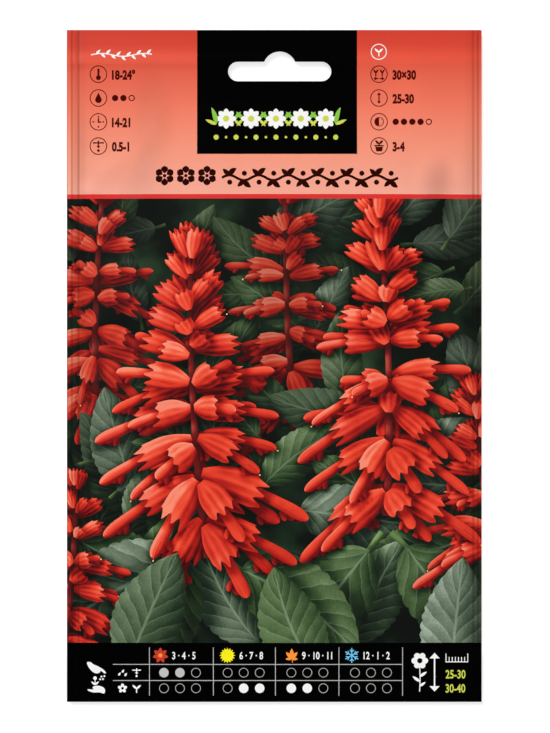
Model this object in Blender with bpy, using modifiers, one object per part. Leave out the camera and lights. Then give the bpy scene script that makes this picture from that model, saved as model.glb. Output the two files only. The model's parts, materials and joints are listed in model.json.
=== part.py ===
"""A flat seed packet: two printed sheets sealed round their edges, with loose seeds inside.

The packet lies on its back with its printed front up. Metres, +Z up. The origin is on the
surface that the packet lies on, under the middle of the sheets. +X runs to the right of the
print and +Y towards the top edge, where the hanging slot is.
"""

import math
import random

import bmesh
import bpy
import numpy as np
from mathutils import Euler, Matrix, Vector

MM = 0.001

# Outline of both sheets
WIDTH = 100 * MM
LENGTH = 162 * MM
SHEET = 0.2 * MM
SEAL_GAP = 0.3 * MM

# Seals, measured in from the packet's edges
SIDE_SEAL = 2.8 * MM
BOTTOM_SEAL = 6.0 * MM
HEADER = 17.0 * MM

# How far each sheet bulges from the sealed edge
SEAL_LIFT = 0.8 * MM
FRONT_BULGE = 2.4 * MM
FRONT_SIDE_RUN = 40 * MM
FRONT_BOTTOM_RUN = 62 * MM
FRONT_TOP_RUN = 78 * MM
BACK_SIDE_RUN = 13 * MM
BACK_END_RUN = 20 * MM

# Crimp ridge across the top, where the filled packet was closed
CREASE_DEPTH = 7.8 * MM
CREASE_HEIGHT = 0.25 * MM
CREASE_HALF_WIDTH = 1.6 * MM

# Hanging slot through both sheets
SLOT_X = 1.3 * MM
SLOT_DEPTH = 10.0 * MM
SLOT_LENGTH = 24.9 * MM
SLOT_HEIGHT = 4.7 * MM
HUMP_BASE = 7.5 * MM
HUMP_RISE = 2.46 * MM
SLOT_ARC_STEPS = 10
CUTTER_HALF_DEPTH = 6 * MM

# Rows and columns of the two sheets' grids
FRONT_CELLS = (26, 38)
BACK_CELLS = (22, 30)

# Loose seeds
SEED_COUNT = 46
SEED_SIZE = (3.1 * MM, 1.9 * MM, 1.6 * MM)
SEED_TAPER = 0.28
SEED_CLEARANCE = 0.3 * MM
SEED_SPACING = 4.1 * MM
SEED_HALF_SPREAD_X = 33 * MM
SEED_SPREAD_Y = (-62 * MM, 18 * MM)
SEED_SCALES = (0.9, 1.08)
SEED_DRAW = 20

# Colour, roughness and metallic value of each material
PRINTED_FRONT = ((0.55, 0.06, 0.03, 1.0), 0.42, 0.0)
PRINTED_BACK = ((0.80, 0.74, 0.62, 1.0), 0.5, 0.0)
SEED_COAT = ((0.045, 0.028, 0.018, 1.0), 0.7, 0.0)


def make_material(name, finish):
    """Return a Principled material from a colour, a roughness and a metallic value."""
    colour, roughness, metallic = finish
    material = bpy.data.materials.new(name)
    material.use_nodes = True
    shader = material.node_tree.nodes["Principled BSDF"]
    shader.inputs["Base Color"].default_value = colour
    shader.inputs["Roughness"].default_value = roughness
    shader.inputs["Metallic"].default_value = metallic
    return material


def rise(distance, run):
    """Return 0 at a seal's edge and 1 past the run, along a parabola that flattens out."""
    part = np.clip(distance / run, 0.0, 1.0)
    return 1.0 - (1.0 - part) ** 2


def edge_distances(x, y):
    """Return how far a point lies inside the side seals, the bottom seal and the header."""
    side = WIDTH / 2 - np.abs(x) - SIDE_SEAL
    bottom = y + LENGTH / 2 - BOTTOM_SEAL
    top = LENGTH / 2 - HEADER - y
    return side, bottom, top


def crease(y):
    """Return the height of the crimp ridge, a rounded bump across the header."""
    across = np.clip(np.abs(y - (LENGTH / 2 - CREASE_DEPTH)) / CREASE_HALF_WIDTH, 0.0, 1.0)
    return CREASE_HEIGHT * (1.0 - across ** 2) ** 2


def back_inside(x, y):
    """Return the height of the back sheet's inner face: flat in the middle, lifted at the seals."""
    side, bottom, top = edge_distances(x, y)
    sag = rise(side, BACK_SIDE_RUN) * rise(bottom, BACK_END_RUN) * rise(top, BACK_END_RUN)
    return SHEET + SEAL_LIFT * (1.0 - sag)


def front_outside(x, y):
    """Return the height of the front sheet's outer face: sealed at its rim, full in the middle."""
    side, bottom, top = edge_distances(x, y)
    bulge = rise(side, FRONT_SIDE_RUN) * rise(bottom, FRONT_BOTTOM_RUN) * rise(top, FRONT_TOP_RUN)
    return SEAL_LIFT + 2 * SHEET + SEAL_GAP + FRONT_BULGE * bulge


def grid_lines(cells, size, keep):
    """Return the places of a grid's lines: the named ones in keep, and even steps between them."""
    marks = sorted({-size / 2, size / 2, *keep})
    spans = np.diff(marks)
    free = cells - len(spans)
    counts = np.ones(len(spans), int)
    for _ in range(free):
        counts[np.argmax(spans / counts)] += 1
    lines = [np.linspace(a, b, n, endpoint=False) for a, b, n in zip(marks, marks[1:], counts)]
    return np.append(np.concatenate(lines), marks[-1])


def make_sheet(name, cells, height, keep_y, material):
    """Make one sheet: a grid set to its lines, lifted to a height, and given its thickness."""
    seal_x = WIDTH / 2 - SIDE_SEAL
    lines_x = grid_lines(cells[0], WIDTH, (-seal_x, seal_x))
    lines_y = grid_lines(cells[1], LENGTH, keep_y)
    mesh = bpy.data.meshes.new(name)
    shape = bmesh.new()
    bmesh.ops.create_grid(shape, x_segments=cells[0], y_segments=cells[1], size=1.0)
    for vert in shape.verts:
        column = round((vert.co.x + 1.0) / 2 * cells[0])
        row = round((vert.co.y + 1.0) / 2 * cells[1])
        x, y = lines_x[column], lines_y[row]
        vert.co = Vector((x, y, float(height(x, y))))
    shape.to_mesh(mesh)
    shape.free()
    mesh.materials.append(material)
    sheet = bpy.data.objects.new(name, mesh)
    solidify = sheet.modifiers.new("sheet thickness", "SOLIDIFY")
    solidify.thickness = SHEET
    return sheet


def slot_outline():
    """Return the slot's outline: a long slot with round ends and a low arch over its middle."""
    end = SLOT_HEIGHT / 2
    end_x = SLOT_LENGTH / 2 - end
    half = HUMP_BASE / 2
    arch = (half ** 2 + HUMP_RISE ** 2) / (2 * HUMP_RISE)
    spread = math.asin(half / arch)
    points = []
    for step in range(SLOT_ARC_STEPS + 1):
        angle = -math.pi / 2 + math.pi * step / SLOT_ARC_STEPS
        points.append((end_x + end * math.cos(angle), end * math.sin(angle)))
    for step in range(SLOT_ARC_STEPS + 1):
        angle = spread - 2 * spread * step / SLOT_ARC_STEPS
        lift = arch * math.cos(angle) - arch + HUMP_RISE
        points.append((arch * math.sin(angle), end + lift))
    for step in range(SLOT_ARC_STEPS + 1):
        angle = math.pi / 2 + math.pi * step / SLOT_ARC_STEPS
        points.append((-end_x + end * math.cos(angle), end * math.sin(angle)))
    return points


def make_slot_cutter():
    """Make the punch for the hanging slot from its flat outline."""
    points = slot_outline()
    curve = bpy.data.curves.new("slot outline", "CURVE")
    curve.dimensions = "2D"
    curve.fill_mode = "BOTH"
    curve.extrude = CUTTER_HALF_DEPTH
    spline = curve.splines.new("POLY")
    spline.points.add(len(points) - 1)
    for point, (x, y) in zip(spline.points, points):
        point.co = (x, y, 0.0, 1.0)
    spline.use_cyclic_u = True
    flat = bpy.data.objects.new("slot outline", curve)
    flat.location = (SLOT_X, LENGTH / 2 - SLOT_DEPTH, 0.0)
    bpy.context.scene.collection.objects.link(flat)
    graph = bpy.context.evaluated_depsgraph_get()
    mesh = bpy.data.meshes.new_from_object(flat.evaluated_get(graph))
    shape = bmesh.new()
    shape.from_mesh(mesh)
    bmesh.ops.remove_doubles(shape, verts=shape.verts, dist=0.001 * MM)
    bmesh.ops.recalc_face_normals(shape, faces=shape.faces)
    shape.to_mesh(mesh)
    shape.free()
    cutter = bpy.data.objects.new("slot_cutter", mesh)
    cutter.matrix_world = flat.matrix_world.copy()
    bpy.data.objects.remove(flat)
    cutter.hide_render = True
    cutter.display_type = "WIRE"
    return cutter


def punch(sheet, cutter):
    """Cut the hanging slot through one sheet."""
    cut = sheet.modifiers.new("hanging slot", "BOOLEAN")
    cut.operation = "DIFFERENCE"
    cut.object = cutter


def make_seed_mesh(material):
    """Make one seed: a flattened egg, narrower at the end where it grew."""
    mesh = bpy.data.meshes.new("seed")
    shape = bmesh.new()
    bmesh.ops.create_icosphere(shape, subdivisions=2, radius=0.5)
    for vert in shape.verts:
        narrow = 1.0 - SEED_TAPER * (0.5 - vert.co.x)
        vert.co.y *= narrow
        vert.co.z *= narrow
    bmesh.ops.scale(shape, vec=SEED_SIZE, verts=shape.verts)
    shape.to_mesh(mesh)
    shape.free()
    mesh.shade_smooth()
    mesh.materials.append(material)
    return mesh


def seed_places():
    """Return seed places that keep apart, denser towards the bottom of the packet."""
    draw = random.Random(SEED_DRAW)
    low, high = SEED_SPREAD_Y
    places = []
    while len(places) < SEED_COUNT:
        x = SEED_HALF_SPREAD_X * (draw.random() + draw.random() - 1.0)
        y = low + (high - low) * draw.random() ** 1.7
        if all(math.hypot(x - a, y - b) > SEED_SPACING for a, b in places):
            places.append((x, y))
    return places


def lay_seed(name, mesh, place, draw):
    """Lay one seed on the back sheet's inner face, turned and rolled at random."""
    turn = Euler((draw.uniform(-0.25, 0.25), draw.uniform(-0.12, 0.12), draw.uniform(0, math.tau)))
    size = draw.uniform(*SEED_SCALES)
    frame = turn.to_matrix() @ Matrix.Scale(size, 3)
    lowest = min((frame @ vert.co).z for vert in mesh.vertices)
    seed = bpy.data.objects.new(name, mesh)
    seed.rotation_euler = turn
    seed.scale = (size, size, size)
    floor = float(back_inside(*place))
    seed.location = (*place, floor + SEED_CLEARANCE - lowest)
    return seed


def main():
    """Build the packet's sheets, its hanging slot and the seeds inside."""
    for old in list(bpy.data.objects):
        bpy.data.objects.remove(old)
    packet = bpy.data.collections.new("seed packet")
    cutters = bpy.data.collections.new("cutters")
    for collection in (packet, cutters):
        bpy.context.scene.collection.children.link(collection)

    seal_lines = (-LENGTH / 2 + BOTTOM_SEAL, LENGTH / 2 - HEADER)
    ridge = LENGTH / 2 - CREASE_DEPTH
    ridge_lines = (ridge - CREASE_HALF_WIDTH, ridge, ridge + CREASE_HALF_WIDTH)
    front = make_sheet(
        "front_panel",
        FRONT_CELLS,
        lambda x, y: front_outside(x, y) + crease(y),
        seal_lines + ridge_lines,
        make_material("printed front", PRINTED_FRONT),
    )
    front.modifiers["sheet thickness"].offset = -1.0
    back = make_sheet(
        "back_panel",
        BACK_CELLS,
        back_inside,
        seal_lines,
        make_material("printed back", PRINTED_BACK),
    )
    back.modifiers["sheet thickness"].offset = -1.0

    cutter = make_slot_cutter()
    cutters.objects.link(cutter)
    for sheet in (front, back):
        punch(sheet, cutter)
        sheet.data.shade_smooth()
        packet.objects.link(sheet)

    seed_mesh = make_seed_mesh(make_material("seed coat", SEED_COAT))
    draw = random.Random(SEED_DRAW + 1)
    for number, place in enumerate(seed_places(), start=1):
        packet.objects.link(lay_seed(f"seed_{number:02d}", seed_mesh, place, draw))


main()
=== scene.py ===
"""A flat seed packet that lies on its back, with a printed front, a printed back and seeds inside.

The two sheets are printed, so their looks are drawn as flat shapes, one over another, in
millimetres: x to the right of the print and y up, from the middle of the sheet. A band of a
sheet is then cut into triangles along every shape's outline, each triangle takes the ink of the
topmost shape over it, and the whole band is lifted to the packet's height and made a thin closed
shell. Metres come in only where a mesh, a light or the camera is made.
"""

import json
import logging
import math
from collections.abc import Iterable, Iterator, Sequence
from dataclasses import dataclass, field
from enum import Enum

import bpy
import numpy as np
from bpy.types import ID, Material, Mesh, Node, NodeSocket, NodeTree, Object, Scene
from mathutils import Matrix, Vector
from mathutils.geometry import delaunay_2d_cdt
from numpy.typing import NDArray

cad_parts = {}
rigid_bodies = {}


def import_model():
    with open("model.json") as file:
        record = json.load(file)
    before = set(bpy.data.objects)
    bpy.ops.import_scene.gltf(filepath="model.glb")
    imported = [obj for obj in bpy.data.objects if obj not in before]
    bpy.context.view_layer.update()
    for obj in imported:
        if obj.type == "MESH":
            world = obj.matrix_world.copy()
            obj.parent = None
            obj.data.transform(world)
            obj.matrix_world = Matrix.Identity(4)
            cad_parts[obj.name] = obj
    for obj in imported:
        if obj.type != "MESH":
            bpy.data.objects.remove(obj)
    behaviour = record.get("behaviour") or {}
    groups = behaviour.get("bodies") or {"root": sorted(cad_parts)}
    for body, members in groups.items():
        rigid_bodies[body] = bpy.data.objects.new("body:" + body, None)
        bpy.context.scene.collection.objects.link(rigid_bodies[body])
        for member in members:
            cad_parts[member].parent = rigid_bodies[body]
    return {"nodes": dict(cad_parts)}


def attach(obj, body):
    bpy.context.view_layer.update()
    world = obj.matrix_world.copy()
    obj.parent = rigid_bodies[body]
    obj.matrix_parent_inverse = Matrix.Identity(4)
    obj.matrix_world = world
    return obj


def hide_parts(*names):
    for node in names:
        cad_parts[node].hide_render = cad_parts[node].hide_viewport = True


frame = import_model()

logging.basicConfig(level=logging.INFO, format="%(message)s")
log = logging.getLogger("seed packet")

Floats = NDArray[np.float64]
Ints = NDArray[np.int64]
Colour = tuple[float, float, float]
Stops = tuple[tuple[float, Colour], ...]
Spot = tuple[float, float]
Inputs = dict[str | int, object]
Groups = dict[str, NodeTree]

MM = 0.001

# The packet's own sizes, as in the solids
WIDTH = 100.0
LENGTH = 162.0
RIGHT, TOP = WIDTH / 2, LENGTH / 2
SIDE_SEAL = 2.8
BOTTOM_SEAL = 6.0
HEADER_SEAL = 17.0
PAPER = 0.15
SEAL_PLANE = 1.15

# The hanging slot: its middle, its half length, its round ends and the arch over its middle
SLOT_X, SLOT_Y = 1.3, TOP - 10.0
SLOT_HALF, SLOT_END = 12.45, 2.35
ARCH_HALF, ARCH_RISE = 3.75, 2.46

# Where the front's print changes from the header to the picture and from that to the calendar
PICTURE_TOP = 40.27
PICTURE_BOTTOM = -66.7

# The light that the printed plants are drawn in: from the upper left, and out of the sheet
DRAWN_LIGHT = np.array([-0.56, 0.60])
DRAWN_LIGHT_OUT = 0.57


def rgb(red: int, green: int, blue: int) -> Colour:
    """Return a colour given as display values from 0 to 255 as linear values."""
    parts = np.array([red, green, blue]) / 255.0
    linear = np.where(parts <= 0.04045, parts / 12.92, ((parts + 0.055) / 1.055) ** 2.4)
    return tuple(float(part) for part in linear)


def colours(*rows: tuple[float, int, int, int]) -> Stops:
    """Return a row of colours from their places and their display values."""
    return tuple((place, rgb(*values)) for place, *values in rows)


class NodeMaker:
    """Short calls that add nodes to one shader tree and join them."""

    def __init__(self, tree: NodeTree, groups: Groups | None = None) -> None:
        """Keep the tree that the nodes go into, and the shared node groups by name."""
        self.tree = tree
        self.groups = groups or {}

    def fill(self, node: Node, inputs: Inputs) -> None:
        """Set a node's inputs.

        Args:
            node: The node.
            inputs: By name or number, another node's output, a number, a colour or a vector.
        """
        for name, value in inputs.items():
            socket = node.inputs[name]
            if isinstance(value, Value):
                self.tree.links.new(value.socket, socket)
            elif isinstance(value, tuple) and socket.type == "RGBA":
                socket.default_value = (*value[:3], 1.0)
            else:
                socket.default_value = value

    def add(
        self, kind: str, inputs: Inputs | None = None, out: str | int = 0, **settings: object
    ) -> "Value":
        """Add a node.

        Args:
            kind: The node's type, without its "ShaderNode" prefix.
            inputs: What goes into it.
            out: The name or number of the output that is wanted.
            settings: Values of the node's own properties.

        Returns:
            That output.
        """
        node = self.tree.nodes.new("ShaderNode" + kind)
        for name, value in settings.items():
            setattr(node, name, value)
        self.fill(node, inputs or {})
        return Value(self, node.outputs[out])

    def math(self, operation: str, *values: object, clamp: bool = False) -> "Value":
        """Return a Math node's result on some values. Clamp holds it between 0 and 1."""
        return self.add("Math", dict(enumerate(values)), operation=operation, use_clamp=clamp)

    def step(self, value: object, low: float, high: float) -> "Value":
        """Return a smooth rise from 0 at low to 1 at high. With high below low, it is a fall."""
        ends = (low, high, 0.0, 1.0) if low < high else (high, low, 1.0, 0.0)
        return self.add("MapRange", dict(enumerate((value, *ends))), interpolation_type="SMOOTHSTEP")

    def mix(self, factor: object, first: object, second: object, blend: str = "MIX") -> "Value":
        """Return a mix of two colours, in which factor is the second one's share."""
        inputs = {"Factor": factor, 6: first, 7: second}
        return self.add("Mix", inputs, 2, data_type="RGBA", blend_type=blend)

    def ramp(self, value: "Value", stops: Stops) -> "Value":
        """Return a colour read from a row of colours.

        Args:
            value: Where on the row, from 0 to 1.
            stops: Places and colours, in order.

        Returns:
            The colour there.
        """
        found = self.add("ValToRGB", {0: value})
        row = found.socket.node.color_ramp.elements
        for _ in range(len(stops) - len(row)):
            row.new(0.5)
        for spot, (place, colour) in zip(row, stops):
            spot.position = place
            spot.color = (*colour, 1.0)
        return found

    def vector(self, x: object, y: object, z: object) -> "Value":
        """Return a vector made of three numbers or outputs."""
        return self.add("CombineXYZ", {0: x, 1: y, 2: z})

    def split(self, vector: "Value") -> list["Value"]:
        """Return the three parts of a vector."""
        node = self.add("SeparateXYZ", {0: vector}).socket.node
        return [Value(self, socket) for socket in node.outputs]

    def noise(self, place: "Value", scale: float, detail: float = 2.0) -> "Value":
        """Return cloudy noise around 0.5, of a scale and with finer layers by detail."""
        return self.add("TexNoise", {"Vector": place, "Scale": scale, "Detail": detail}, "Fac")

    def attribute(self, name: str) -> "Value":
        """Return a vector that the mesh carries at each face's corners."""
        return self.add("Attribute", out="Vector", attribute_name=name)

    def place(self) -> "Value":
        """Return where a point lies on the piece, in metres."""
        return self.add("TexCoord", out="Object")

    def group(self, name: str, **inputs: object) -> dict[str, "Value"]:
        """Place a shared node group and return its outputs by name."""
        node = self.add("Group", inputs, node_tree=self.groups[name]).socket.node
        return {socket.name: Value(self, socket) for socket in node.outputs}


@dataclass(frozen=True)
class Value:
    """A node's output, on which plain arithmetic builds Math nodes."""

    nodes: NodeMaker
    socket: NodeSocket

    def __add__(self, other: object) -> "Value":
        """Return the sum."""
        return self.nodes.math("ADD", self, other)

    def __sub__(self, other: object) -> "Value":
        """Return the difference."""
        return self.nodes.math("SUBTRACT", self, other)

    def __mul__(self, other: object) -> "Value":
        """Return the product."""
        return self.nodes.math("MULTIPLY", self, other)

    def __abs__(self) -> "Value":
        """Return the value without its sign."""
        return self.nodes.math("ABSOLUTE", self)

    __radd__ = __add__


def new_group(
    name: str, inputs: dict[str, str], outputs: dict[str, str]
) -> tuple[NodeMaker, dict[str, Value], Node]:
    """Start a shader node group.

    Args:
        name: The group's name.
        inputs: Name to kind.
        outputs: Name to kind.

    Returns:
        The group's node maker, its inputs by name, and its output node.
    """
    tree = bpy.data.node_groups.new(name, "ShaderNodeTree")
    for way, sockets in (("INPUT", inputs), ("OUTPUT", outputs)):
        for title, kind in sockets.items():
            tree.interface.new_socket(title, in_out=way, socket_type="NodeSocket" + kind)
    nodes = NodeMaker(tree)
    given = tree.nodes.new("NodeGroupInput")
    values = {title: Value(nodes, given.outputs[title]) for title in inputs}
    return nodes, values, tree.nodes.new("NodeGroupOutput")


def film_group() -> NodeTree:
    """Make the effect of the clear film over the print.

    The ink gets a painted shadow along the cut edges, painted shade and highlights beside the
    embossed seal lines and, on the front's header, painted shade and highlights of folds; the
    paper under the film is faintly mottled, and the film itself has a fine unevenness.

    Returns:
        A group from a colour, a place and a roughness to a colour, a roughness and a height.
    """
    nodes, given, made = new_group(
        "clear film",
        {"Colour": "Color", "Place": "Vector", "Roughness": "Float"},
        {"Colour": "Color", "Roughness": "Float", "Height": "Float"},
    )
    place = given["Place"]
    x, y, z = nodes.split(place)
    # Painted shade and highlights of the header's folds, on the front only
    fold_shading = sum(mark.mask(nodes, x, y) * mark.height for mark in PAINTED_FOLD_SHADING)
    fold_shading = fold_shading * nodes.math("GREATER_THAN", z, SEAL_PLANE * MM)
    # Painted shadow along the cut edges, and painted shade and highlights beside the seal lines
    lines = sum(
        nodes.step(abs(x - middle * MM), half * MM, 0.0) * strength
        for middle, half, strength in PAINTED_LINE_SHADING
    )
    cloud, grain = nodes.noise(place, 55.0, 3.0), nodes.noise(place, 900.0)
    plain = fold_shading + (cloud - 0.5) * 0.06 + 1.0
    gains = [lines * share + plain for share in LINE_SHARES]
    nodes.fill(made, {
        "Colour": nodes.mix(1.0, given["Colour"], nodes.vector(*gains), "MULTIPLY"),
        "Roughness": given["Roughness"] + (cloud - 0.5) * 0.12,
        "Height": grain * 0.3 + cloud,
    })
    return nodes.tree


@dataclass(frozen=True)
class Fold:
    """A soft ridge or dent, or a patch of painted fold shade: bell curves across it and along it."""

    x: float
    y: float
    angle: float
    half_length: float
    half_width: float
    height: float

    def parts(self, x: object, y: object, unit: float = 1.0) -> tuple:
        """Return how far places lie along and across it, as parts of its half sizes.

        Args:
            x: Places in units, as an array or a node's output.
            y: The same up the packet.
            unit: A millimetre in those units.

        Returns:
            The parts along and across.
        """
        cos, sin = heading(math.radians(self.angle)).tolist()
        off_x, off_y = x - self.x * unit, y - self.y * unit
        along = (off_x * cos + off_y * sin) * (1.0 / (self.half_length * unit))
        across = (off_y * cos - off_x * sin) * (1.0 / (self.half_width * unit))
        return along, across

    def rise(self, x: Floats, y: Floats) -> Floats:
        """Return its height at places on the packet."""
        along, across = self.parts(x, y)
        return self.height * np.exp(-(along**4) - across**2)

    def mask(self, nodes: NodeMaker, x: Value, y: Value) -> Value:
        """Return a soft spot in its place: 1 in the middle and 0 where its ellipse ends."""
        along, across = self.parts(x, y, MM)
        return nodes.step(nodes.math("SQRT", along * along + across * across), 1.0, 0.0)


# Painted shading of the ink: a painted shadow along each cut edge, and painted shade and highlights
# beside the embossed seal lines, by x, half width and strength, with shares of red, green and blue
# that make them redder than plain shadows; then painted shade and highlights of the header's folds
PAINTED_LINE_SHADING = (
    (-50.0, 0.3, -0.56), (-49.5, 0.6, 0.12), (-48.78, 0.45, -0.42), (-48.0, 0.8, -0.14),
    (-47.2, 0.45, -0.42), (-46.5, 1.6, -0.12),
    (50.0, 0.3, -0.30), (49.6, 0.6, 0.05), (49.15, 0.6, -0.43), (48.45, 0.7, -0.05),
    (48.0, 0.6, -0.36), (47.0, 1.6, -0.06),
)
LINE_SHARES = (0.8, 1.0, 1.1)
# Painted shade of the film's folds on the front's header, with one painted highlight
PAINTED_FOLD_SHADING = (
    Fold(-29.5, 61.5, 92.0, 17.0, 7.0, -0.13), Fold(47.5, 46.0, 90.0, 17.0, 4.5, -0.08),
    Fold(-31.0, 47.0, 76.0, 11.0, 4.0, -0.16), Fold(-34.5, 43.0, 60.0, 7.0, 3.5, -0.08),
    Fold(-46.5, 52.0, 90.0, 14.0, 3.0, -0.07), Fold(39.0, 44.0, 84.0, 9.0, 5.5, -0.24),
    Fold(31.0, 68.0, 90.0, 12.0, 7.0, 0.05),
)


def drawn_light_group() -> NodeTree:
    """Make the light on a drawn stem, petal or leaf half as if it were rounded.

    Across runs from -1 to 1 over the shape and side says how much its left edge faces the
    light, so the light is across * roundness * side plus what falls straight on.

    Returns:
        A group from across, side, shade and roundness to the light from 0 to about 1.
    """
    inputs = dict.fromkeys(("Across", "Side", "Shade", "Roundness"), "Float")
    nodes, given, made = new_group("drawn light", inputs, {"Light": "Float"})
    lean = given["Across"] * given["Roundness"]
    facing = nodes.math("SQRT", lean * lean * -1.0 + 1.0) * DRAWN_LIGHT_OUT
    caught = nodes.math("MAXIMUM", lean * given["Side"] + facing, 0.0)
    nodes.fill(made, {"Light": (caught * 0.85 + 0.22) * given["Shade"]})
    return nodes.tree


@dataclass(frozen=True)
class Finish:
    """A surface of the packet: its colour under the film, and how the film reflects."""

    name: str
    roughness: float = 0.45
    specular: float = 0.3
    unevenness: float = 0.03

    def colour(self, nodes: NodeMaker) -> Value | Colour:
        """Return the colour, or the output that gives it."""
        raise NotImplementedError

    def looks(self, nodes: NodeMaker) -> Inputs:
        """Return what goes into the material's shader."""
        film = nodes.group(
            "film", Colour=self.colour(nodes), Place=nodes.place(), Roughness=self.roughness
        )
        bump = {"Strength": self.unevenness, "Distance": 0.3 * MM, "Height": film["Height"]}
        return {
            "Base Color": film["Colour"],
            "Roughness": film["Roughness"],
            "Normal": nodes.add("Bump", bump),
            "Specular IOR Level": self.specular,
        }

    def build(self, groups: Groups) -> Material:
        """Make the material.

        Args:
            groups: The shared node groups by name.

        Returns:
            The material.
        """
        material = bpy.data.materials.new(self.name)
        material.use_nodes = True
        nodes = NodeMaker(material.node_tree, groups)
        nodes.fill(nodes.tree.nodes["Principled BSDF"], self.looks(nodes))
        return material


@dataclass(frozen=True)
class FlatInk(Finish):
    """One printed colour."""

    ink: Colour = (0.5, 0.5, 0.5)

    def colour(self, nodes: NodeMaker) -> Colour:
        """Return the ink's colour."""
        return self.ink


@dataclass(frozen=True)
class FadeInk(Finish):
    """A printed colour that changes up the sheet."""

    stops: Stops = ()

    def colour(self, nodes: NodeMaker) -> Value:
        """Return the colour for a point's height on the sheet, between the stops' heights."""
        low, high = self.stops[0][0], self.stops[-1][0]
        _, y, _ = nodes.split(nodes.place())
        part = (y - low * MM) * (1.0 / ((high - low) * MM))
        return nodes.ramp(part, [((y - low) / (high - low), c) for y, c in self.stops])


@dataclass(frozen=True)
class PlantInk(Finish):
    """A printed picture of a plant's part, lit along its own shape."""

    specular: float = 0.14
    roundness: float = 0.8
    far: Colour = (0.0, 0.0, 0.0)

    def surface(self, nodes: NodeMaker, along: Value, across: Value, tone: Value, light: Value) -> Value:
        """Return the part's colour, near and clear."""
        raise NotImplementedError

    def colour(self, nodes: NodeMaker) -> Value:
        """Return the part's colour, darkened with its distance in the picture."""
        along, across, tone = nodes.split(nodes.attribute("drawn"))
        side, shade, depth = nodes.split(nodes.attribute("lit"))
        light = nodes.group("light", Across=across, Side=side, Shade=shade, Roundness=self.roundness)
        near = self.surface(nodes, along, across, tone, light["Light"])
        return nodes.mix(depth, near, self.far)


@dataclass(frozen=True)
class PetalInk(PlantInk):
    """Scarlet petals and cups with fine streaks from base to rim, and pleats on the cups."""

    warm: Stops = ()
    cool: Stops = ()
    streaks: float = 0.3
    pleats: float = 0.0

    def surface(self, nodes: NodeMaker, along: Value, across: Value, tone: Value, light: Value) -> Value:
        """Return the colour for the light, broken by streaks and pleats that run along."""
        lanes = nodes.vector(along * 1.6, across * 3.2, tone * 61.0)
        streak = nodes.noise(lanes, 1.8, 4.0) - 0.5
        value = light + streak * self.streaks + (nodes.noise(nodes.place(), 420.0) - 0.5) * 0.16
        if self.pleats:
            ridge = nodes.math("SINE", across * 11.0 + streak * 2.0) * self.pleats
            value = value + ridge * nodes.step(along, 0.05, 0.5)
        value = value + nodes.step(along, 0.72, 1.0) * 0.10
        warm, cool = nodes.ramp(value, self.warm), nodes.ramp(value, self.cool)
        return nodes.mix(nodes.step(tone, 0.35, 0.95), warm, cool)


@dataclass(frozen=True)
class LeafInk(PlantInk):
    """Green leaves, quilted between side veins that leave the midrib at a slant."""

    greens: Stops = ()
    blues: Stops = ()
    vein: Colour = (0.3, 0.4, 0.3)
    pairs: float = 8.0
    slant: float = 2.2

    def surface(self, nodes: NodeMaker, along: Value, across: Value, tone: Value, light: Value) -> Value:
        """Return the leaf's colour: its greens for the light, with lighter veins on it."""
        place, out = nodes.place(), abs(across)
        bow = nodes.math("POWER", out, 0.8) * self.slant
        row = along * self.pairs - bow + nodes.noise(place, 300.0) * 0.35
        half = nodes.math("GREATER_THAN", across, 0.0) * 0.4
        part = nodes.math("FRACT", row + half + 40.0) - 0.5
        side_vein = nodes.step(abs(part) * 2.0, 0.88, 1.0) * 0.75 * nodes.step(out, 1.0, 0.5)
        veins = nodes.math("MAXIMUM", nodes.step(out, 0.055, 0.02), side_vein)
        cells = nodes.add(
            "TexVoronoi", {"Vector": place, "Scale": 1000.0}, "Distance", feature="DISTANCE_TO_EDGE"
        )
        net = nodes.step(cells, 0.16, 0.0) * -0.05
        value = light + part * 0.20 + net + (nodes.noise(place, 160.0, 4.0) - 0.5) * 0.42
        green, blue = nodes.ramp(value, self.greens), nodes.ramp(value, self.blues)
        body = nodes.mix(nodes.step(tone, 0.3, 0.9), green, blue)
        lit_vein = nodes.mix(nodes.math("MULTIPLY", light, 0.55, clamp=True), body, self.vein)
        return nodes.mix(veins, body, lit_vein)


@dataclass(frozen=True)
class GroundInk(Finish):
    """The picture's dark, blurred ground."""

    shades: Stops = ()

    def colour(self, nodes: NodeMaker) -> Value:
        """Return soft blotches from near black to deep green."""
        return nodes.ramp(nodes.noise(nodes.place(), 75.0, 2.5), self.shades)


@dataclass(frozen=True)
class SeedCoat(Finish):
    """The seeds' brown coat, mottled and finely pitted."""

    shades: Stops = ()

    def looks(self, nodes: NodeMaker) -> Inputs:
        """Return what goes into the shader: mottled browns over small pits."""
        place = nodes.place()
        bump = {"Strength": 0.5, "Distance": 0.1 * MM, "Height": nodes.noise(place, 3000.0)}
        return {
            "Base Color": nodes.ramp(nodes.noise(place, 900.0, 3.0), self.shades),
            "Normal": nodes.add("Bump", bump),
            "Roughness": self.roughness,
        }


@dataclass(frozen=True)
class TableTop(Finish):
    """The table's dull white. Its own glow keeps the shadows on it faint."""

    white: float = 0.5
    glow: float = 0.66

    def looks(self, nodes: NodeMaker) -> Inputs:
        """Return what goes into the shader."""
        return {
            "Base Color": (self.white,) * 3,
            "Emission Color": (1.0, 1.0, 1.0),
            "Emission Strength": self.glow,
            "Roughness": self.roughness,
            "Specular IOR Level": self.specular,
        }


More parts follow.
